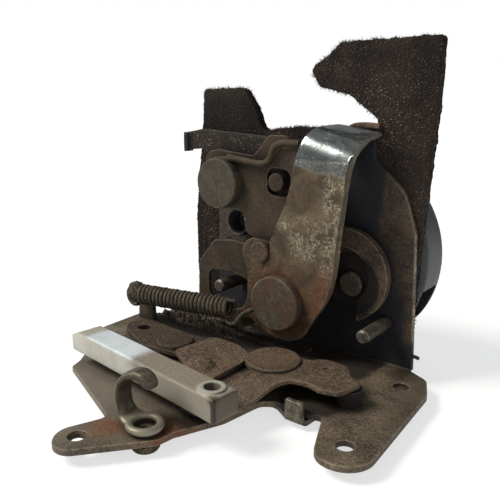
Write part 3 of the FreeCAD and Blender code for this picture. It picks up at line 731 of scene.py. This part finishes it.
def wavy(broad, broad_pitch, fine, fine_pitch, inset=0.0):
    """An amount for pushed(): two noises laid over each other, less an inset."""
    def amount(place, normal):
        return broad * noise.noise(place * broad_pitch) + fine * noise.noise(place * fine_pitch) - inset

    return amount


def tube(name, points, radius, paint, slot, sides=4):
    """A round wire on the frame, through points of the row frame."""
    curve = bpy.data.curves.new(name, "CURVE")
    curve.dimensions = "3D"
    curve.bevel_depth = radius
    curve.bevel_resolution = sides
    curve.use_fill_caps = True
    line = curve.splines.new("POLY")
    line.points.add(len(points) - 1)
    for spot, point in zip(line.points, points):
        spot.co = (*point, 1.0)
    obj = linked(name, curve)
    mesh = as_seen(obj)
    bpy.data.objects.remove(obj)
    obj = linked(name, mesh)
    mesh.shade_smooth()
    return dressed(obj, paint, "root", slot)


def rounded(corners):
    """Points of a closed outline; each corner is (a, b, radius), and its arc is sampled."""
    points, steps = [], 6
    for i, (a, b, radius) in enumerate(corners):
        here = Vector((a, b))
        back = (Vector(corners[i - 1][:2]) - here).normalized()
        ahead = (Vector(corners[(i + 1) % len(corners)][:2]) - here).normalized()
        half = math.acos(max(-1, min(1, back.dot(ahead)))) / 2
        centre = here + (back + ahead).normalized() * radius / math.sin(half)
        start = here + back * radius / math.tan(half) - centre
        end = here + ahead * radius / math.tan(half) - centre
        turn = start.angle_signed(end)
        for k in range(steps + 1):
            part = -turn * k / steps
            spun = Vector((start.x * math.cos(part) - start.y * math.sin(part),
                           start.x * math.sin(part) + start.y * math.cos(part)))
            points.append(centre + spun)
    return points


def stamped(name, corners, top, thick, voxel, height):
    """Sheet parallel to the base plate; height(x, y) lifts it where it is bent."""
    work = bmesh.new()
    low = [work.verts.new(at(p.x, p.y, top - thick)) for p in rounded(corners)]
    face = work.faces.new(low)
    lifted = bmesh.ops.extrude_face_region(work, geom=[face])["geom"]
    moved = [g for g in lifted if isinstance(g, bmesh.types.BMVert)]
    bmesh.ops.translate(work, verts=moved, vec=(0, 0, thick * MM))
    obj = evened(built(name, work, outward=True), voxel)
    for vertex in obj.data.vertices:
        place = (vertex.co - CORNER) / MM
        vertex.co.z += height(place.x, place.y) * MM
    return smoothed(obj, 3)


def rise(value, low, high):
    """0 below low, 1 above high, smooth between."""
    t = max(0.0, min(1.0, (value - low) / (high - low)))
    return t * t * (3 - 2 * t)


def dressed(obj, paint, body, slot, *replaced):
    """Coats a piece, hangs it on its body, and hides the CAD nodes that it replaces. The slot argument is
    not used.
    """
    coat(obj, paint)
    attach(obj, body)
    if replaced:
        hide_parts(*replaced)
    return obj


# ---- release lever ----
def bent(first, corner, last, steps):
    """Quadratic curve from first to last that pulls towards the corner."""
    path = []
    for k in range(steps + 1):
        t = k / steps
        path.append(first * (1 - t) ** 2 + corner * 2 * t * (1 - t) + last * t * t)
    return path


def release_lever(paint):
    """Tapering blade with a generous bend at its top and a twisted flange behind."""
    sides = [
        ((-42.5, 6.2), (-38.0, 6.2)), ((-47.4, 7.8), (-33.4, 8.3)), ((-50.6, 11.8), (-30.2, 12.2)),
        ((-51.5, 17.5), (-27.6, 17.0)), ((-50.6, 24.0), (-24.2, 23.0)), ((-48.4, 30.5), (-22.2, 29.5)),
        ((-46.3, 35.8), (-21.3, 36.0)), ((-46.0, 40.6), (-20.6, 43.0)), ((-43.2, 47.4), (-20.0, 50.0)),
        ((-39.8, 55.0), (-19.3, 56.5)), ((-38.1, 62.0), (-18.8, 60.5))]
    face = RELEASE_FACE
    left = smooth_path([at(x, face, z) for (x, z), _ in sides], 4)
    right = smooth_path([at(x, face, z) for _, (x, z) in sides], 4)
    left += bent(at(-37.9, face, 64.0), at(-35.6, face, 77.4), at(-33.4, -8.4, 78.6), 14)
    right += bent(at(-18.7, face, 61.8), at(-17.9, face, 71.8), at(-16.7, -8.4, 75.0), 14)
    left += bent(at(-33.1, -7.4, 78.7), at(-32.2, -4.0, 78.9), at(-31.2, -0.7, 79.1), 4)
    right += bent(at(-16.6, -7.4, 75.4), at(-16.1, -4.0, 76.6), at(-15.7, -0.7, 77.3), 4)
    across = 22
    work = bmesh.new()
    rows = []
    for a, b in zip(left, right):
        rows.append([work.verts.new(a.lerp(b, k / across)) for k in range(across + 1)])
    for i, row in enumerate(rows):
        spine = (right[min(i + 1, len(right) - 1)] - right[max(i - 1, 0)]).normalized()
        sideways = (right[i] - left[i]).normalized()
        rear = spine.cross(sideways).normalized()
        if rear.y < 0 or rear.z > 0.2:
            rear = -rear
        deep = 2.7 * rise(i, 6, 20) * (1 - 0.6 * rise(i, len(rows) - 16, len(rows) - 2))
        for out, back in ((0.22, 0.35), (0.34, 1.0)):
            spot = right[i] + (sideways * out + rear * back * deep) * MM
            row.append(work.verts.new(spot))
    for first, second in zip(rows, rows[1:]):
        for k in range(across + 2):
            work.faces.new((first[k], first[k + 1], second[k + 1], second[k]))
    obj = built("release_lever_sheet", work, smooth=True)
    solid = obj.modifiers.new("thick", "SOLIDIFY")
    solid.thickness = RELEASE_THICK * MM
    solid.offset = -1.0
    solid.use_even_offset = True
    round_over = obj.modifiers.new("round", "BEVEL")
    round_over.width = 0.45 * MM
    round_over.segments = 3
    round_over.limit_method = "ANGLE"
    round_over.angle_limit = math.radians(50)
    settled(obj)

    def ripple(place, normal):
        return 0.10 * noise.noise(place * 0.16) + 0.03 * noise.noise(place * 0.6) * (place.z < 62)

    pushed(obj, ripple)
    return dressed(obj, paint, "release", "zinc_plate", "release_lever")


# ---- inside lever ----
def inside_lever(paint):
    """One continuous sheet: tongue under the bar, dished seat at the rivet, raised wing."""
    corners = [
        (-44.6, -32.4, 3), (-42.0, -52, 4), (-41.0, -68.6, 3.2), (-31.4, -68.8, 3.2), (-30.4, -62.8, 1),
        (-24.6, -59.4, 1.5), (-21.9, -44.6, 1.5), (-20.0, -42.2, 1), (-14.6, -41.2, 2), (-9.6, -42.2, 3),
        (-4.2, -40.6, 3), (-1.6, -31.2, 2), (-6.4, -29.4, 2), (-10.8, -23.4, 3), (-17.6, -23.4, 3),
        (-24.0, -25.2, 1), (-40, -24.5, 5)]
    seat, wing = 2.7, 4.1

    def height(x, y):
        seated = seat * rise(x, -37.6, -33.4) * rise(y, -59.0, -44.0)
        crown = 0.5 * math.exp(-((x + 11.5) ** 2 + (y + 33) ** 2) / 60) - 0.25
        return seated + (wing - seated) * rise(x, -25.0, -18.6) + crown * rise(x, -25.0, -18.6)

    obj = stamped("inside_lever_sheet", corners, 3.4, 1.8, 0.38, height)
    pit = at(-14.5, -29.6, 7.6)
    for vertex in obj.data.vertices:
        reach = (vertex.co.xy - pit.xy).length / MM
        if reach < 1.6 and vertex.co.z > pit.z - 1.2 * MM:
            vertex.co.z -= 1.1 * MM * (1 - rise(reach, 0.5, 1.6))
    return dressed(obj, paint, "inside", "rusty_steel", "inside_lever")


# ---- bridge lip and other small pieces ----
def bridge_lip(paint):
    """Rolled upper edge of the bridge plate, which rises in a wave towards the lever."""
    path = route(8, (-71.5, -12.4, 65.4), (-65, -12.6, 66.1), (-57, -12.6, 65.4), (-52.6, -12.6, 65.6),
                 (-50.2, -12.6, 67.6), (-48.8, -12.6, 71.0), (-45.6, -12.4, 72.8), (-38.8, -12.2, 73.0))
    tube("bridge_lip", path, 1.15 * MM, paint, "lever_steel", sides=6)


def strip_sheet(paint):
    """The lock strip with its edges rolled over and its tongue bent up."""
    piece = smoothed(remeshed("lock_lever", "strip_sheet", 0.32), 5)
    dressed(pushed(piece, wavy(0.12, 0.25, 0.05, 1.1)), paint, "lock", "lever_steel", "lock_lever")


def wall_lug(paint):
    """Tan tab of the wall plate that shows behind the release lever's flange."""
    path = route(6, (-28.5, 0.9, 77.2), (-26.0, 0.9, 78.6), (-22.0, 0.9, 79.0), (-17.2, 0.9, 78.8))
    dressed(swept("wall_lug", path, lambda t: (0.8, 1.0)), paint, "root", "frame_steel")


def frame_bend(paint):
    """Rounded inner corner where the frame's sheet turns up from the base into the wall."""
    left, step, points = -94.0, 1.87, 51
    path = [at(left + step * k, 0.2, -0.2) for k in range(points)]
    dressed(swept("frame_bend", path, lambda t: (1.2, 0.9)), paint, "root", "frame_steel")


def wall_barb(paint):
    """Small bent barb on the wall plate's right edge that holds the foam."""
    path = route(5, (-0.6, 1.0, 4.9), (0.6, 0.9, 4.9), (1.4, 0.7, 4.9), (2.0, 0.5, 4.8))
    tube("wall_barb", path, 0.6 * MM, paint, "frame_steel")


# ---- foam ----
def foam():
    """Torn gasket with pitted faces and frayed edges."""
    piece = remeshed("foam_gasket", "foam", 0.42)

    def fray(place, normal):
        side = 1 - abs(normal.y)
        torn = noise.fractal(place * 0.45, 1.0, 2.0, 4) * 0.9 * side
        pits = -0.5 * max(0.0, 0.45 - noise.voronoi(place * 1.1)[0][0])
        return torn - 0.45 * side + pits + 0.12 * noise.noise(place * 1.7) - 0.1

    dressed(pushed(piece, fray), foam_look(), "root", "foam", "foam_gasket")
    return piece


def foam_struts(piece):
    """Broken cell walls that stand out of the torn edges."""
    draw = random.Random(4)
    edge = [v for v in piece.data.vertices if abs(v.normal.y) < 0.55]
    work = bmesh.new()
    for _ in range(STRUTS):
        root = draw.choice(edge)
        place = (root.co - CORNER) / MM
        if place.x > -1.6 or place.z < 2:
            continue
        way = Vector((draw.gauss(0, 1), draw.gauss(0, 0.6), draw.gauss(0, 1))).normalized()
        way = (way + root.normal * 0.9).normalized()
        torn = 1.6 if place.x < -19 and (place.z > 84 or place.x > -70) else 1.0
        length = draw.uniform(0.4, 1.3) * torn * MM
        thick = draw.uniform(0.07, 0.15) * MM
        strut(work, root.co - way * 0.2 * MM, way * length, thick)
    dressed(built("foam_struts", work), piece.data.materials[0], "root", "foam")


def strut(work, start, reach, thick):
    """A three-sided splinter that tapers towards its tip."""
    side = reach.orthogonal().normalized()
    other = reach.cross(side).normalized()
    foot = [work.verts.new(start + (side * c + other * s) * thick) for c, s in circle(3)]
    tip = work.verts.new(start + reach)
    work.faces.new(foot[::-1])
    for k in range(3):
        work.faces.new((foot[k], foot[(k + 1) % 3], tip))


# ---- tension spring ----
def spring(paint):
    """Close-wound coil with a hook at the right and a crusted eye at the left."""
    along = SPRING_RIGHT - SPRING_LEFT
    side = along.orthogonal().normalized()
    other = along.cross(side).normalized()
    around = 20
    steps = COILS * around
    points = []
    for k in range(steps + 1):
        a = k * math.tau / around
        wobble = 1 + 0.03 * math.sin(a * 0.37)
        ring = (side * math.cos(a) + other * math.sin(a)) * SPRING_RADIUS * wobble * MM
        points.append(SPRING_LEFT + along * (k / steps) + ring)
    coil = tube("tension_coil", points, WIRE_RADIUS * MM, paint, "spring_steel")
    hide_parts("tension_spring")
    hook = route(6, (-61.2, -22.8, 10.4), (-59.6, -23.0, 9.0), (-57.6, -22.6, 9.2), (-56.4, -21.2, 11.2),
                 (-55.0, -20.0, 13.0), (-52.8, -18.6, 14.2), (-51.0, -15.6, 14.6))
    tube("tension_hook", hook, WIRE_RADIUS * MM, paint, "spring_steel")
    tip = route(6, (-60.8, -22.0, 16.9), (-59.4, -21.7, 17.1), (-58.2, -21.2, 16.9))
    tube("tension_tip", tip, 0.7 * MM, paint, "spring_steel")
    eye = at(-102.4, -29.6, 11.6)
    loop = [at(-98.4, -30.6, 10.8)]
    for k in range(25):
        a = math.radians(-20 + 13.5 * k)
        loop.append(eye + Vector((math.cos(a), 0.10 * k / 24, math.sin(a))) * 3.4 * MM)
    tube("tension_eye", smooth_path(loop, 3), 0.85 * MM, paint, "spring_steel")
    clot("tension_clot", at(-102.6, -27.8, 12.6), (4.1, 3.2, 4.6), 0.9, paint, "spring_steel")


def clot(name, centre, reach, rough, paint, slot):
    """A lump of caked rust on the frame; reach is its half size and rough the height of its crumbs."""
    work = bmesh.new()
    bmesh.ops.create_icosphere(work, subdivisions=5, radius=1.0)
    for vertex in work.verts:
        way = vertex.co.copy()
        swell = 1 + 0.22 * noise.fractal(way * 1.3 + centre / MM, 1.0, 2.0, 3)
        crumbs = rough * (0.35 - noise.voronoi((way * 2.6 * max(reach)) * 0.5 + centre / MM)[0][0])
        vertex.co = centre + Vector([w * r * swell for w, r in zip(way, reach)]) * MM + way * crumbs * MM
    dressed(built(name, work, smooth=True), paint, "root", slot)


def route(steps, *spots):
    """Smooth curve through places of the design frame, in millimetres."""
    return smooth_path([at(*spot) for spot in spots], steps)


def smooth_path(points, steps):
    """Catmull-Rom curve through points."""
    ends = [points[0], *points, points[-1]]
    path = []
    for i in range(len(points) - 1):
        a, b, c, d = ends[i:i + 4]
        for k in range(steps):
            t = k / steps
            path.append(0.5 * ((2 * b) + (c - a) * t + (2 * a - 5 * b + 4 * c - d) * t * t
                               + (3 * b - a - 3 * c + d) * t ** 3))
    path.append(points[-1])
    return path


# ---- nylon bar ----
def bar():
    """The pull bar with softened arrises and a little shrinkage."""
    piece = smoothed(remeshed("nylon_bar", "pull_bar", 0.3), 7)
    dressed(pushed(piece, wavy(0.12, 0.12, 0.03, 0.9, 0.08)), nylon_look(), "bar", "nylon", "nylon_bar")


# ---- clip and eyelet ----
def swept(name, path, sizes):
    """Sheet strip along a path, its width front to back; sizes(t) is half its width and thickness."""
    work = bmesh.new()
    rings = []
    count, square = len(path), 4
    across = Vector(BACK)
    for i, point in enumerate(path):
        ahead = (path[min(i + 1, count - 1)] - path[max(i - 1, 0)]).normalized()
        out = across.cross(ahead).normalized()
        wide, thick = sizes(i / (count - 1))
        ring = []
        for c, d in circle(20):
            shape = (abs(c) ** square + abs(d) ** square) ** (-1 / square)
            ring.append(work.verts.new(point + (across * c * wide + out * d * thick) * shape * MM))
        rings.append(ring)
    skinned(work, rings)
    work.faces.new(rings[0][::-1])
    work.faces.new(rings[-1])
    return built(name, work, smooth=True, outward=True)


def lathed(name, centre, profile):
    """Turned ring about the vertical through a centre; the profile of (radius, z) is closed."""
    work = bmesh.new()
    rings = []
    for radius, z in profile:
        rings.append([work.verts.new((centre.x + radius * MM * c, centre.y + radius * MM * s, z * MM))
                      for c, s in circle(48)])
    skinned(work, rings, closed=True)
    return built(name, work, smooth=True, outward=True)


def clip(metal, rust):
    """Rod clip: a thick polished ring, and a strip that rises from it and curls over."""
    centre = at(-41.2, -80.0, 0)
    ring, wire, height = 4.3, 1.15, 1.75
    profile = [(ring + wire * c, height + wire * s) for c, s in circle(20)]
    dressed(lathed("clip_ring", centre, profile), metal, "clip", "zinc_plate", "rod_clip")
    path = route(6, (-45.0, -80, 1.8), (-47.6, -80, 2.6), (-49.3, -80, 5.6), (-49.7, -80, 9.4),
                 (-48.4, -80, 12.8), (-45.6, -80, 15.3), (-42.4, -80, 16.3), (-39.9, -80, 15.9),
                 (-38.6, -80, 14.7), (-38.7, -80, 13.6))

    def sizes(t):
        taper = 1 - 0.2 * rise(t, 0.55, 0.9)
        tip = math.sqrt(max(0.02, 1 - rise(t, 0.9, 1.02) ** 2))
        return (2.7 + 1.1 * (1 - rise(t, 0, 0.22))) * taper * tip, (0.85 + 0.6 * rise(t, 0.35, 0.8)) * tip

    dressed(swept("clip_strip", path, sizes), metal, "clip", "zinc_plate")
    foot = [(3.0, 0.2), (2.4, 0.4), (1.9, 0.2), (1.5, -1.0), (1.6, -5.3), (3.6, -5.4), (4.0, -4.8),
            (3.2, -3.2), (2.4, -2.1), (2.6, -0.4)]
    dressed(lathed("eyelet_tail", centre, foot), rust, "root", "zinc_plate", "clip_eyelet")
    clot("eyelet_crust", at(-38.6, -82.6, -3.0), (2.4, 1.8, 1.5), 0.5, rust, "zinc_plate")


def rod_hole_crust(paint):
    """Rust that has grown round the inside of the hole at the arm's end."""
    profile = [(2.9, -0.25), (2.3, -0.5), (1.75, -1.2), (1.85, -1.9), (2.6, -2.25), (2.9, -2.2)]
    dressed(lathed("rod_hole_crust", at(-53.2, -93.4, 0), profile), paint, "root", "frame_steel")


def ear_dirt(paint):
    """Dirt caked in the hole of the ear beside the wall plate."""
    clot("ear_dirt", at(2.1, -12.3, -1.3), (2.3, 2.3, 0.5), 0.3, paint, "frame_steel")


# ---- tapped boss ----
def boss(paint):
    """Ring pressed into the wall plate, with a coarse thread cut inside."""
    centre = middle("mounting_boss")
    low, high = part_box("mounting_boss")
    outer, inner, cut = 5.2 * MM, 4.15 * MM, 0.4 * MM
    pitch, around = 1.25 * MM, 48
    depth = high.y - low.y
    rows = int(depth / pitch * 6)
    work = bmesh.new()

    def ring(y, radius):
        """Points round the boss's axis; radius(k) is the k-th point's."""
        return [work.verts.new((centre.x + radius(k) * c, y, centre.z + radius(k) * s))
                for k, (c, s) in enumerate(circle(around))]

    inside = [ring(low.y, lambda k: inner + cut * 1.1)]
    for r in range(1, rows + 1):
        y = low.y + depth * r / rows
        inside.append(ring(y, lambda k: inner + cut * abs(2 * ((y / pitch + k / around) % 1.0) - 1)))
    profile = [(low.y, inner + 0.5 * MM), (low.y, outer - 0.4 * MM), (low.y + 0.15 * MM, outer - 0.15 * MM),
               (low.y + 0.5 * MM, outer), (high.y, outer)]
    outside = [ring(y, lambda k: radius) for y, radius in profile]
    skinned(work, inside[::-1] + outside, closed=True)
    obj = built("tapped_boss", work, smooth=True, outward=True)
    dressed(obj, paint, "root", "rivet_steel", "mounting_boss")


# ---- loose dirt ----
def pebble():
    """The corners and faces of a plain stone, one unit across, that each grain is roughened from."""
    work = bmesh.new()
    bmesh.ops.create_icosphere(work, subdivisions=1, radius=0.5)
    corners = [v.co.copy() for v in work.verts]
    faces = [[v.index for v in f.verts] for f in work.faces]
    work.free()
    return corners, faces


def scatter(seed, count, low, high, direction, clump, sizes, targets):
    """Grains on the surfaces first met along a direction, thickest where clump is high."""
    draw = random.Random(seed)
    graph = bpy.context.evaluated_depsgraph_get()
    corners, _ = pebble()
    found = {}
    for _ in range(count):
        start = Vector([draw.uniform(a, b) for a, b in zip(low, high)])
        keep = draw.random()
        size = draw.uniform(*sizes) * MM
        turn = draw.uniform(0, math.tau)
        spin = Matrix.Rotation(turn, 3, Vector((draw.gauss(0, 1), draw.gauss(0, 1), 1)))
        rough = [draw.uniform(0.6, 1.15) for _ in corners]
        if noise.fractal((start - CORNER) / MM * clump, 1.0, 2.0, 3) + 0.45 < keep:
            continue
        hit, place, normal, _, obj, _ = bpy.context.scene.ray_cast(graph, start, direction)
        if not hit or obj.name not in targets or normal.dot(direction) > -0.5:
            continue
        found.setdefault(obj["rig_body"], []).append((place + normal * size * 0.1, spin, size, rough))
    return found


def grains(found, tag, paint):
    """One mesh of loose grains for each body that carries some."""
    corners, faces = pebble()
    for body, spots in sorted(found.items()):
        vertices, polygons = [], []
        for place, spin, size, rough in spots:
            base = len(vertices)
            vertices += [place + spin @ (c * r * size) for c, r in zip(corners, rough)]
            polygons += [[base + i for i in f] for f in faces]
        mesh = bpy.data.meshes.new("dirt_%s_%s" % (tag, body))
        mesh.from_pydata(vertices, [], polygons)
        dressed(linked(mesh.name, mesh), paint, body, "rusty_steel")


def heap(paint):
    """Ragged bank of caked dirt in front of the wall's foot, behind the lock link."""
    work = bmesh.new()
    across, deep = 96, 34
    left, width = -103, 42
    grid = []
    for i in range(across + 1):
        x = left + width * i / across
        front = -17.0 - 1.6 * (x - left) / width
        row = []
        for k in range(deep + 1):
            y = front + (-front - 3.5) * k / deep
            ends = rise(i, 0, 8) * (1 - rise(i, across - 14, across))
            bank = rise(k, 0, 4) * (1 - 0.75 * rise(k, 6, deep)) * ends
            spot = Vector((x, y, 0)) * 0.55
            crumbs = 0.55 + 0.75 * noise.fractal(spot, 0.9, 2.1, 4) + 0.5 * noise.noise(spot * 3.1)
            row.append(work.verts.new(at(x, y, 2.8 * bank * max(0.0, crumbs) - 0.25)))
        grid.append(row)
    for first, second in zip(grid, grid[1:]):
        for k in range(deep):
            work.faces.new((first[k], second[k], second[k + 1], first[k + 1]))
    lowered = bmesh.ops.extrude_face_region(work, geom=list(work.faces))["geom"]
    for vertex in [g for g in lowered if isinstance(g, bmesh.types.BMVert)]:
        vertex.co.z = -0.6 * MM
    dressed(built("dirt_heap", work, outward=True), paint, "root", "rusty_steel")


def swept_clear(found):
    """Leaves out the grains that the transfer lever's edges sweep off the levers beside it."""
    left, right = at(-65.5, 0, 0).x, at(-37.5, 0, 0).x
    found["link"] = [spot for spot in found["link"] if spot[0].x < left]
    found["inside"] = [spot for spot in found["inside"] if spot[0].x > right]


def dirt():
    """Sandy dirt on the levers over the base plate and in the corner below the wall."""
    paint = dirt_look()
    heap(grimy("bank_film", "3a3024", "5f533f", gain=0.65, rust=0.3, dust=0.9, grain=0.3, sand=0.5))
    floor_nodes = ("base_plate", "lock_link", "transfer_lever", "crust_rivet", "inside_lever_sheet",
                   "dirt_heap", "flat_rivet")
    lows, highs = at(-108, -58, 40), at(-34, -4, 40)
    down = scatter(11, 22000, lows, highs, -Vector(UP), 0.12, (0.16, 0.42), floor_nodes)
    swept_clear(down)
    grains(down, "base", paint)
    lows, highs = at(-103, -20, 40), at(-60, -4, 40)
    bank = scatter(13, 1500, lows, highs, -Vector(UP), 0.2, (0.3, 0.7), ("dirt_heap",))
    grains(bank, "bank", worn_by("lock_link"))
    lows, highs = at(-95, -60, 28), at(-52, -60, 75)
    back = scatter(12, 9000, lows, highs, Vector(BACK), 0.15, (0.22, 0.5),
                   ("strip_sheet", "foam", "wall_plate"))
    grains(back, "strip", paint)


# ---- studio ----
def camera():
    """The view from the front right, set by azimuth, elevation and a small roll."""
    a, e, r = (math.radians(v) for v in (AZIMUTH, ELEVATION, ROLL))
    back = Vector((math.sin(a) * math.cos(e), -math.cos(a) * math.cos(e), math.sin(e)))
    level = Vector((math.cos(a), math.sin(a), 0.0))
    upward = back.cross(level)
    right = level * math.cos(r) + upward * math.sin(r)
    up = upward * math.cos(r) - level * math.sin(r)
    data = bpy.data.cameras.new("camera")
    data.lens = CAMERA_LENS
    data.sensor_width = CAMERA_SENSOR
    data.clip_start = 0.01
    obj = linked("camera", data)
    obj.matrix_world = Matrix.Translation(CAMERA_PLACE) @ Matrix((right, up, back)).transposed().to_4x4()
    bpy.context.scene.camera = obj


def sun(name, place, strength, softness, colour):
    """Soft light of even strength that comes from the direction of a place."""
    data = bpy.data.lights.new(name, "SUN")
    data.energy = strength
    data.angle = math.radians(softness)
    data.color = colour
    obj = linked(name, data)
    obj.rotation_euler = Vector(place).to_track_quat("Z", "Y").to_euler()
    obj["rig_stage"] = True


def studio():
    """A white background and soft light from the upper left."""
    world = bpy.data.worlds.new("studio")
    world.use_nodes = True
    tree = world.node_tree
    sky = tree.nodes["Background"]
    sky.inputs["Color"].default_value = (0.90, 0.95, 1.0, 1.0)
    sky.inputs["Strength"].default_value = SKY
    backdrop = tree.nodes.new("ShaderNodeBackground")
    seen = tree.nodes.new("ShaderNodeLightPath")
    choice = tree.nodes.new("ShaderNodeMixShader")
    tree.links.new(seen.outputs["Is Camera Ray"], choice.inputs[0])
    tree.links.new(sky.outputs[0], choice.inputs[1])
    tree.links.new(backdrop.outputs[0], choice.inputs[2])
    tree.links.new(choice.outputs[0], tree.nodes["World Output"].inputs["Surface"])
    backdrop.inputs["Color"].default_value = (1.0, 1.0, 1.0, 1.0)
    bpy.context.scene.world = world
    sun("key", (-0.55, -0.50, 0.80), KEY, 22.0, (1.0, 0.965, 0.92))
    sun("side", (0.80, -0.30, 0.40), SIDE, 40.0, (0.95, 0.97, 1.0))
    bpy.context.scene.view_settings.view_transform = "Standard"


def ground():
    """The pale floor, which glows a little so that it stays near white."""
    low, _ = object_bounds()
    work = bmesh.new()
    bmesh.ops.create_grid(work, x_segments=2, y_segments=2, size=6.0)
    obj = built("floor", work)
    obj.location.z = low.z
    look = Look("pale_floor")
    look.colour = look.mix(look.noise(400, 2, 0.5), tint("a8a8a6"), tint("acacab"))
    coat(obj, look.finish(0.9, 0.0, 0.1))
    look.shader.inputs["Emission Color"].default_value = (1.0, 1.0, 1.0, 1.0)
    look.shader.inputs["Emission Strength"].default_value = FLOOR_GLOW
    obj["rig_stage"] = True


# ---- assembly ----
camera()
dress()
release_lever(worn_by("release_lever"))
inside_lever(worn_by("inside_lever"))
bridge_lip(worn_by("lock_plate"))
strip_sheet(worn_by("lock_lever"))
wall_lug(worn_by("dome_rivet"))
frame_bend(worn_by("base_plate"))
wall_barb(worn_by("wall_plate"))
foam_struts(foam())
spring(worn_by("tension_spring"))
bar()
clip(worn_by("rod_clip"), worn_by("lift_plate"))
rod_hole_crust(worn_by("lift_plate"))
ear_dirt(worn_by("lock_link"))
boss(worn_by("rotor_housing"))
dirt()
studio()
ground()
